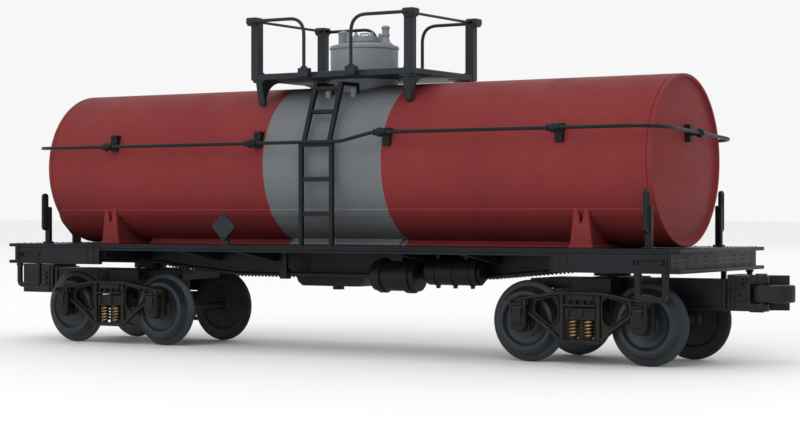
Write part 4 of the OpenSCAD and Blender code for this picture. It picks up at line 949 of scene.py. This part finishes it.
# Wheel profile from the bore outwards: hub, dished plate, rim, coned tread, fillet and rounded flange.
def wheelShapes(x):
    axleLow, axleHigh = corners("front_outer_axle")
    wheelHigh = corners("front_outer_wheels")[1]
    face, flange = wheelHigh[1], wheelHigh[2] - axleZ
    back, bore = face - 3.8, (axleHigh[2] - axleLow[2]) / 2
    tread = flange - 2.0
    profile = [[back - 0.35, 0], [back - 0.35, bore + 1.0], [back + 0.25, bore + 1.4],
               [back + 0.5, tread - 1.9], [back, tread - 1.4], [back, tread + 0.7],
               [back + 0.1, flange - 0.35], [back + 0.35, flange], [back + 0.8, flange],
               [back + 1.1, flange - 0.55], [back + 1.35, tread + 0.25], [back + 1.8, tread],
               [face - 0.15, tread - 0.85], [face, tread - 1.1], [face, tread - 2.2],
               [face - 1.15, tread - 2.9], [face - 1.75, 3.4], [face - 1.45, 2.5], [face - 0.45, 2.2],
               [face - 0.4, bore + 0.3], [face + 0.1, bore], [face + 0.1, 0]]
    reach = [0, 0.1, 0.2, 0.4, 0.3, 0.2, 0.25, 0.3, 0.3, 0.3, 0.4, 0.3, 0.2, 0.2, 0.35, 0.5, 0.9,
             0.4, 0.3, 0.1, 0.15, 0]
    line = softened(profile, reach, 4, closed=False)
    shapes = []
    for side in (-1, 1):
        shapes.append(turned(line, (x, 0, axleZ), (0, side, 0), 96))
        ring = np.radians(60 * np.arange(6))
        dots = np.stack([x + 1.7 * np.cos(ring), np.full(6, side * (face - 0.42)),
                         axleZ + 1.7 * np.sin(ring)], axis=1)
        shapes.append(heads(dots, (0, side, 0), 0.22, 0.2))
    return shapes


# Axle: radius against the distance from its middle, mirrored to the other half and turned about Y.
def axleShapes(x):
    low, high = corners("front_outer_axle")
    radius, end = (high[2] - low[2]) / 2, high[1]
    half = [[0.0, radius], [9.0, radius], [12.5, radius + 0.45], [13.6, radius + 0.45], [14.2, radius],
            [end - 0.4, radius], [end, radius - 0.3], [end, 0]]
    line = np.array([[-a, r] for a, r in half[::-1]] + half[1:])
    return [turned(softened(line, 0.3, 3, closed=False), (x, 0, axleZ), (0, 1, 0), 32)]


# Rivets, a lift lever with its eye, and the flange ends on the coupler's shank and head.
def couplerTrimShapes():
    z0 = corners("front_coupler")[0][2]
    side = 5.0
    headX = corners("front_knuckle_pin")[0][0] - truckX - 7.0
    x = np.linspace(14, headX - 3, 7)
    shapes = []
    for s in (-1, 1):
        shapes.append(heads([[a, s * side, z] for a in x for z in (z0 + 1.4, z0 + 6.4)],
                            (0, s, 0), 0.32, 0.28))
        shapes.append(softBlock((headX - 1.7, s * side - 0.5, z0 - 0.1),
                                (headX - 0.5, s * side + 0.5, z0 + 8.3), 0.25))
        shapes.append(softBlock((headX + 1.2, s * (side + 0.6) - 0.35, z0 + 0.4),
                                (headX + 2.0, s * (side + 0.6) + 0.35, z0 + 8.7), 0.2))
    shapes.append(softBlock((headX - 0.6, -4.4, z0 + 8.7), (headX + 1.4, 4.4, z0 + 9.35), 0.25))
    for x0, x1, z1, z2, out in ((headX + 2.4, headX + 5.2, 2.6, 3.5, 0.5),
                                (headX + 2.4, headX + 4.6, 5.9, 6.7, 0.5),
                                (headX - 0.2, headX + 0.9, 1.2, 7.6, 0.3)):
        for s in (-1, 1):
            y = ordered(s, 5.3, 5.6 + out)
            shapes.append(softBlock((x0, y[0], z0 + z1), (x1, y[1], z0 + z2), 0.25))
    for s in (-1, 1):
        shapes.append(heads([[headX + 3.2, s * 5.6, z0 + 4.7]], (0, s, 0), 0.75, 0.6, 10))
        shapes.append(softBlock((16, s * side - 0.3, z0 + 0.1),
                                (headX - 1.5, s * side + 0.3, z0 + 0.8), 0.15))
        shapes.append(softBlock((16, s * side - 0.3, z0 + 7.2),
                                (headX - 1.5, s * side + 0.3, z0 + 7.95), 0.15))
    for z in (z0 - 0.25, z0 + 8.8):
        boss = softened([[0, 0], [0, 1.7], [0.6, 1.6], [0.6, 0]], [0, 0.15, 0.2, 0], 3, False)
        shapes.append(turned(boss, (headX + 7.0, -3.6, z), (0, 0, 1), 20))
    lever = softened([[headX + 0.4, -6.1, z0 + 3.0], [headX + 0.6, -6.2, z0 + 6.0],
                      [headX + 3.4, -6.3, z0 + 6.3], [headX + 4.4, -5.9, z0 + 7.9]], 0.9, 4, False)
    shapes.append(carried(lever, roundProfile(0.32, 8), (0, 1, 0.2)))
    eye = softened([[-0.2, 0.35], [-0.2, 0.75], [0.4, 0.75], [0.4, 0.35]], 0.12, 2)
    shapes.append(turned(np.concatenate([eye, eye[:1]]), (headX + 4.5, -6.0, z0 + 8.1), (0, 1, 0), 16))
    return shapes


for rear in (False, True):
    end, side = ("rear", "Rear") if rear else ("front", "Front")
    iron, steel = finishes["truck_iron"], finishes["wheel_metal"]
    near = sideFrameShapes() + journalShapes(-halfBase) + journalShapes(halfBase)
    far = [mirroredY(s) for s in near]
    names = ("near", "far") if not rear else ("far", "near")
    for shapes, which in ((near, names[0]), (far, names[1])):
        makePiece(f"truckFrame{side}{which.title()}", [atTruck(s, rear) for s in shapes], iron,
                  f"{end}_truck", (f"{end}_side_frame_{which}",))
    makePiece(f"truckSprings{side}", [atTruck(s, rear) for s in coilShapes()], finishes["spring_brass"],
              f"{end}_truck", (f"{end}_springs",))
    makePiece(f"couplerTrim{side}", [atTruck(s, rear) for s in couplerTrimShapes()],
              finishes["coupler_metal"], f"{end}_truck")
    for place, x in (("outer", halfBase), ("inner", -halfBase)):
        body = f"{end}_{place}_wheelset"
        makePiece(f"wheels{side}{place.title()}", [atTruck(s, rear) for s in wheelShapes(x)], steel, body,
                  (f"{end}_{place}_wheels",), 30)
        makePiece(f"axle{side}{place.title()}", [atTruck(s, rear) for s in axleShapes(x)], steel, body,
                  (f"{end}_{place}_axle",))
print("trucks done")


# Frame trim: flange lips along the deck edge and the deep end plates, and rows of rivets.
trim = {"lip": 0.28, "lipTall": 0.4, "shallow": 0.7, "deepStart": frameEnd - 4.4 - 32.8 + 1.0, "rivet": 0.34,
        "bellyEnd": truckX - 9.0, "bellyFlat": truckX - halfBase - 22.0, "pitch": 1.25}


# The underside of the centre sill: level, a short step, a long slope and the flat of the belly.
def bellyHeight(x):
    reach = np.abs(x)
    low = corners("centre_sill")[0][2]
    return np.interp(reach, [trim["bellyFlat"], trim["bellyEnd"] - 6, trim["bellyEnd"], 200],
                     [low, frameBottom - 1.0, frameBottom, frameBottom])


# A thin soft lip on one side of the frame, between two x and two z, standing out by a little.
def edgeStrip(near, x, z, out):
    y0, y1 = ordered(near, frameSide - 0.5, frameSide + out)
    return softBlock((x[0], y0, z[0]), (x[1], y1, z[1]), 0.1)


# Lips round the deck edge and the deep end plates, then rivets: each row is evenly spaced along its
# edge, and those of the centre sill stand at the height of its underside.
def frameTrimShapes():
    shapes = []
    inner, side, lip = sillLow[0], frameSide, trim["lip"]
    deckBottom = deckLow[2]
    start = trim["deepStart"]
    for near in (-1, 1):
        level = deckBottom - trim["shallow"]
        shapes.append(edgeStrip(near, (-inner, inner), (frameTop - trim["lipTall"], frameTop + 0.02), lip))
        shapes.append(edgeStrip(near, (-start, start), (level, level + trim["lipTall"]), lip))
        for end in (-1, 1):
            bottom = (frameBottom, frameBottom + trim["lipTall"])
            shapes.append(edgeStrip(near, ordered(end, start, inner), bottom, lip))
            for x in (ordered(end, start, start + 0.5), ordered(end, inner - 0.5, inner)):
                shapes.append(edgeStrip(near, x, (frameBottom, frameTop), 0.18))
            seat = [[end * (start + 2.6 + 2.2 * c), near * side, frameBottom + 1.1 + 1.25 * r]
                    for c in range(2) for r in range(4)]
            shapes.append(heads(seat, (0, near, 0), trim["rivet"], 0.28))
            slot = [[end * (inner - 5 + a), near * (side - 0.1), frameBottom + 2.7] for a in (-3.6, 3.6)]
            shapes.append(heads(slot, (0, near, 0), 0.42, 0.3))
            x0, x1 = ordered(end, inner - 9.6, inner - 0.4)
            y0, y1 = ordered(near, side - 0.2, side + 0.14)
            shapes.append(softBlock((x0, y0, frameBottom + 3.45), (x1, y1, frameBottom + 3.75), 0.08))
        x = np.arange(-trim["bellyEnd"], trim["bellyEnd"] + 0.1, trim["pitch"])
        under = np.stack([x, np.full(len(x), near * 6.5), bellyHeight(x)], axis=1)
        shapes.append(heads(under, (0, 0, -1), 0.42, 0.42, 6))
        above = under + np.array([0, 0, 0.8])
        shapes.append(heads(above, (0, 0, 1), 0.36, 0.3, 6))
        web = np.arange(-56, 56.1, 4.0)
        shapes.append(heads(np.stack([web, np.full(len(web), near * 6.0), bellyHeight(web) + 1.9], axis=1),
                            (0, near, 0), 0.3, 0.26, 6))
    for end in (-1, 1):
        for y in np.arange(-26, 26.1, 6.5):
            column = [[end * sillLow[0] + end * 1.0, y + dy, frameBottom + 1.6 + 1.2 * r] for r in range(3)
                      for dy in (-0.7, 0.7)]
            shapes.append(heads(column, (end, 0, 0), 0.24, 0.14, 6))
        seats = [[end * (sillHigh[0] - 1.6), y, frameTop] for y in np.arange(-27, 27.1, 3.0)]
        shapes.append(heads(seats, (0, 0, 1), 0.3, 0.22, 6))
    for side in (-1, 1):
        x = np.arange(-100, 100.1, 4.0)
        deck = np.stack([x, np.full(len(x), side * (frameSide - 1.1)), np.full(len(x), frameTop)], axis=1)
        shapes.append(heads(deck, (0, 0, 1), 0.3, 0.22, 6))
    return shapes


black = finishes["frame_black"]
makePiece("frameTrim", frameTrimShapes(), black, "car_body")
print("frame done")


# Handrail: one wire from its near end, round the tank's end and back along the far side, where it
# drops from the high level to the low one and climbs again before it meets the other wire.
railLow, railHigh = corners("handrail_front")
wire = {"radius": 0.5, "corner": 8.0, "ramp": 13.0, "post": 21.8}


def handrailShapes():
    r = wire["radius"]
    high, low = railHigh[2] - r, railLow[2] + r
    x, y, post = railHigh[0] - r, railHigh[1] - r, wire["post"]
    points = [[post, -y, high], [x, -y, high], [x, y, low], [-post + wire["ramp"], y, low],
              [-post + 2.3, y, high], [-post, y, high]]
    line = softened(points, [0, wire["corner"] * 1.25, wire["corner"] * 1.25, 2.0, 1.0, 0], 12, closed=False)
    full = [line[0]]
    for a, b in zip(line[:-1], line[1:]):
        count = max(1, int(np.linalg.norm(b - a) / 3.0))
        full += [a + (b - a) * k / count for k in range(1, count + 1)]
    return [carried(full, roundProfile(r, 12), (0, 0, 1))]


# Stanchion fittings: two bolts on each plate, and a ball with collars turned about the wire. Each
# plate stands on the tank's circle: the root of the radius squared less the height squared.
def stanchionShapes():
    shapes = []
    r = wire["radius"]
    high, low = railHigh[2] - r, railLow[2] + r
    y, outer = railHigh[1] - r, 75.0
    plateZ = (high + low) / 2
    for near in (-1, 1):
        for x in (outer, wire["post"], -wire["post"], -outer):
            z = high if x * near < 0 else low
            base = near * (np.sqrt(tankRadius ** 2 - (plateZ - tankZ) ** 2) + 1.1)
            shapes.append(heads([[x, base + near * 0.35, plateZ + dz] for dz in (-1.5, 1.5)], (0, near, 0),
                                0.5, 0.4, 6))
            y0, y1 = sorted((base - near * 0.9, base + near * 0.45))
            shapes.append(softBlock((x - 1.25, y0, plateZ - 2.5), (x + 1.25, y1, plateZ + 2.5), 0.3))
            ball = [[-1.9, 0], [-1.9, 0.85], [-1.45, 0.9], [-1.3, 0.7], [-1.0, 0.85], [-0.6, 1.2],
                    [0, 1.35], [0.6, 1.2], [1.0, 0.85], [1.3, 0.7], [1.45, 0.9], [1.9, 0.85], [1.9, 0]]
            shapes.append(turned(softened(ball, 0.15, 2, False), (x, near * y, z), (1, 0, 0), 24))
    return shapes


fitting = finishes["fittings_black"]
makePiece("handrailFront", handrailShapes(), fitting, "car_body", ("handrail_front",))
makePiece("handrailRear", [quarterTurned(s, 2) for s in handrailShapes()], fitting, "car_body",
          ("handrail_rear",))
makePiece("stanchionTrim", stanchionShapes(), fitting, "car_body")


# Rivets where the ladder's rungs meet its stiles, two to each rung end.
def ladderTrimShapes():
    low = corners("ladder_near")[0]
    shapes = []
    for turn in (1, -1):
        for z in 33.5 + 9.77 * np.arange(3):
            ends = [[s * 5.1, turn * low[1], z + dz] for s in (-1, 1) for dz in (-0.45, 0.45)]
            shapes.append(heads(ends, (0, -turn, 0), 0.26, 0.22))
    return shapes


# Small bolts on the fittings under and beside the frame: on the cylinder at equal angles on a circle.
# The reservoir's straps are a rounded band turned about its axis.
def fittingTrimShapes():
    shapes = []
    low, high = corners("brake_cylinder")
    y, z = (low[1] + high[1]) / 2, low[2] + (high[1] - low[1]) / 2
    radius = (high[1] - low[1]) / 2
    ring = np.radians(45 * np.arange(8))
    for x, face in ((low[0] + 2.5 + 1.6, -1), (high[0] - 1.6, 1)):
        dots = np.stack([np.full(8, x), y + (radius - 0.5) * np.cos(ring),
                         z + (radius - 0.5) * np.sin(ring)], axis=1)
        shapes.append(heads(dots, (face, 0, 0), 0.3, 0.3, 6))
    low, high = corners("air_reservoir")
    y, z = (low[1] + high[1]) / 2, low[2] + (high[1] - low[1]) / 2
    radius = (high[1] - low[1]) / 2
    for x in (low[0] + 3.5, (low[0] + high[0]) / 2, high[0] - 3.5):
        strap = softened([[-0.55, radius - 0.5], [-0.55, radius + 0.22], [0.55, radius + 0.22],
                          [0.55, radius - 0.5]],
                         0.12, 2)
        shapes.append(turned(np.concatenate([strap, strap[:1]]), (x, y, z), (1, 0, 0), 48))
        shapes.append(softBlock((x - 0.4, y - 0.7, z - radius - 0.9),
                                (x + 0.4, y + 0.7, z - radius + 0.3), 0.2))
    for boxLow, boxHigh in solidBoxes("placard_boards"):
        side = -1 if boxLow[1] < 0 else 1
        x, mid = (boxLow[0] + boxHigh[0]) / 2, boxHigh[2] - (boxHigh[0] - boxLow[0]) / 2
        out = boxLow[1] if side < 0 else boxHigh[1]
        shapes.append(heads([[x, out, mid + dz] for dz in (-3.2, 3.2)], (0, side, 0), 0.3, 0.22))
    for boxLow, boxHigh in solidBoxes("stirrup_steps"):
        side = -1 if boxLow[1] < 0 else 1
        out = boxLow[1] if side < 0 else boxHigh[1]
        ends = [[x, out, boxHigh[2] + 1.0] for x in (boxLow[0] + 0.65, boxHigh[0] - 0.65)]
        shapes.append(heads(ends, (0, side, 0), 0.36, 0.3, 6))
    return shapes


# Stirrup steps: a flat bar bent into a U with rounded corners, on two feet under the sill.
def stirrupShapes():
    shapes = []
    for low, high in solidBoxes("stirrup_steps"):
        y = (low[1] + high[1]) / 2
        bend = softened([[low[0] + 0.7, high[2] + 0.1], [low[0] + 0.7, low[2] + 0.7],
                         [high[0] - 0.7, low[2] + 0.7], [high[0] - 0.7, high[2] + 0.1]], [0, 1.5, 1.5, 0], 6,
                        closed=False)
        path = np.stack([bend[:, 0], np.full(len(bend), y), bend[:, 1]], axis=1)
        shapes.append(carried(path, barProfile(1.5, 1.15, 0.3), (0, 1, 0)))
        for x in (low[0] + 0.7, high[0] - 0.7):
            shapes.append(softBlock((x - 1.0, low[1] - 0.1, high[2] - 0.9),
                                    (x + 1.0, high[1] + 0.1, high[2]), 0.25))
        tread = low[2] + 1.45
        shapes.append(softBlock((low[0] + 1.9, low[1] + 0.2, tread - 0.25),
                                (high[0] - 1.9, high[1] - 0.2, tread), 0.08))
    return shapes


# Corner posts: an upright with a rounded top, and beside it a long loop of round bar on two stubs.
def cornerPostShapes():
    shapes = []
    turn = np.linspace(0, np.pi, 9)
    for low, high in solidBoxes("corner_posts"):
        side = 1 if high[1] > 0 else -1
        x = (low[0] + high[0]) / 2
        inner, outer = ordered(side, low[1], high[1])
        mid, radius, bar = outer - 1.05, 0.72, 0.42
        stalk = inner + 0.7
        top = high[2] - 4.2
        outline = np.concatenate([[[stalk + 0.7, low[2]], [stalk + 0.7, top - 0.6]],
                                  np.stack([stalk + 0.7 * np.cos(turn),
                                            top - 0.6 + 0.7 * np.sin(turn)], axis=1)[1:],
                                  [[stalk - 0.7, low[2]]]]) * [side, 1]
        shapes.append(softSlab([outline], x - 0.95, x + 0.95, "yz", 0.3, 3))
        shapes.append(softBlock((x - 1.4, side * stalk - 1.2, low[2] - 0.05),
                                (x + 1.4, side * stalk + 1.2, low[2] + 0.55), 0.2))
        z0, z1 = low[2] + 4.0 + radius + bar, high[2] - radius - bar
        loop = np.concatenate([np.stack([radius * np.cos(turn), z1 + radius * np.sin(turn)], axis=1),
                               np.stack([-radius * np.cos(turn), z0 - radius * np.sin(turn)], axis=1)])
        loop = np.concatenate([loop, loop[:2]]) + [mid, 0]
        path = np.stack([np.full(len(loop), x), side * loop[:, 0], loop[:, 1]], axis=1)
        shapes.append(carried(path, barProfile(0.84, 1.15, 0.34), (1, 0, 0)))
        for z in (z0 + 0.8, top - 1.6):
            y = ordered(side, stalk, mid - radius)
            shapes.append(softBlock((x - 0.4, y[0], z - 0.45), (x + 0.4, y[1], z + 0.45), 0.15))
    return shapes


makePiece("cornerPosts", cornerPostShapes(), fitting, "car_body", ("corner_posts",))
makePiece("stirrupSteps", stirrupShapes(), fitting, "car_body", ("stirrup_steps",))
makePiece("ladderTrim", ladderTrimShapes(), fitting, "car_body")
makePiece("fittingTrim", fittingTrimShapes(), fitting, "car_body")
print("fittings done")


# The floor and the world share one pale tone, so that the floor's far edge doesn't show.
studio = {"floor": 12.0, "pale": 0.93, "worldStrength": 1.0, "keyPower": 8.0, "keySize": 1.1,
          "keyPlace": (0.15, -1.35, 1.2), "fillPower": 4.4, "fillSize": 1.4, "fillPlace": (-0.5, -1.8, 0.22),
          "backPower": 1.5, "backPlace": (-0.3, 1.4, 1.1)}


def buildFloor():
    half = studio["floor"]
    low = min(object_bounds()[0][2], 0.0)
    mesh = bpy.data.meshes.new("studioFloor")
    mesh.from_pydata([(-half, -half, low), (half, -half, low), (half, half, low), (-half, half, low)], [],
                     [(0, 1, 2, 3)])
    floor = bpy.data.objects.new("studioFloor", mesh)
    bpy.context.scene.collection.objects.link(floor)
    material = bpy.data.materials.new("paleFloor")
    material.use_nodes = True
    tree = material.node_tree
    place = addNode(tree, "ShaderNodeTexCoord").outputs["Object"]
    cloud = addNode(tree, "ShaderNodeTexNoise", {"Vector": place, "Scale": 2.5, "Detail": 3.0}).outputs[0]
    tone = addMix(tree, cloud, (0.90, 0.90, 0.90, 1), (0.93, 0.93, 0.925, 1))
    tree.links.new(tone, tree.nodes["Principled BSDF"].inputs["Base Color"])
    tree.nodes["Principled BSDF"].inputs["Roughness"].default_value = 0.75
    tree.nodes["Principled BSDF"].inputs["Specular IOR Level"].default_value = 0.15
    mesh.materials.append(material)


def addSoftbox(name, power, size, place, target=(0, 0, 0.045)):
    light = bpy.data.lights.new(name, "AREA")
    light.energy = power
    light.size = size
    box = bpy.data.objects.new(name, light)
    box.location = place
    box.rotation_euler = (Vector(target) - Vector(place)).to_track_quat("-Z", "Y").to_euler()
    bpy.context.scene.collection.objects.link(box)


def buildWorld():
    world = bpy.data.worlds.new("paleStudio")
    world.use_nodes = True
    background = world.node_tree.nodes["Background"]
    background.inputs["Color"].default_value = (studio["pale"], studio["pale"], studio["pale"], 1)
    background.inputs["Strength"].default_value = studio["worldStrength"]
    bpy.context.scene.world = world


view = {"lens": 86.37, "sensor": 36.0, "place": (0.30142, -0.47364, 0.03923), "turn": (90.02, 0.0, 31.41)}


def addCamera():
    lens = bpy.data.cameras.new("mainCamera")
    lens.lens = view["lens"]
    lens.sensor_width = view["sensor"]
    camera = bpy.data.objects.new("mainCamera", lens)
    camera.location = view["place"]
    camera.rotation_euler = np.radians(view["turn"])
    bpy.context.scene.collection.objects.link(camera)
    bpy.context.scene.camera = camera


edges = {"merge": 1e-6, "width": 0.16, "angle": 35}
edgeWidths = {"front_coupler": 0.4, "rear_coupler": 0.4, "front_knuckle": 0.45, "rear_knuckle": 0.45,
              "bottom_outlet": 0.4}


# CAD pieces that stay in view get soft edges: doubles are welded first so that the bevel finds them.
def softenCad(node):
    thing = frame["nodes"][node]
    weld = thing.modifiers.new("weld", "WELD")
    weld.merge_threshold = edges["merge"]
    bevel = thing.modifiers.new("edges", "BEVEL")
    bevel.width = edgeWidths.get(node, edges["width"]) * mm
    bevel.segments = 2
    bevel.limit_method = "ANGLE"
    bevel.angle_limit = np.radians(edges["angle"])
    thing.modifiers.new("weighted", "WEIGHTED_NORMAL")


for node in sorted(frame["nodes"]):
    if not frame["nodes"][node].hide_render:
        softenCad(node)

buildFloor()
addSoftbox("keyLight", studio["keyPower"], studio["keySize"], studio["keyPlace"])
addSoftbox("fillLight", studio["fillPower"], studio["fillSize"], studio["fillPlace"])
addSoftbox("backLight", studio["backPower"], studio["fillSize"], studio["backPlace"])
buildWorld()
addCamera()
bpy.context.scene.view_settings.view_transform = "Standard"

print("stage set")
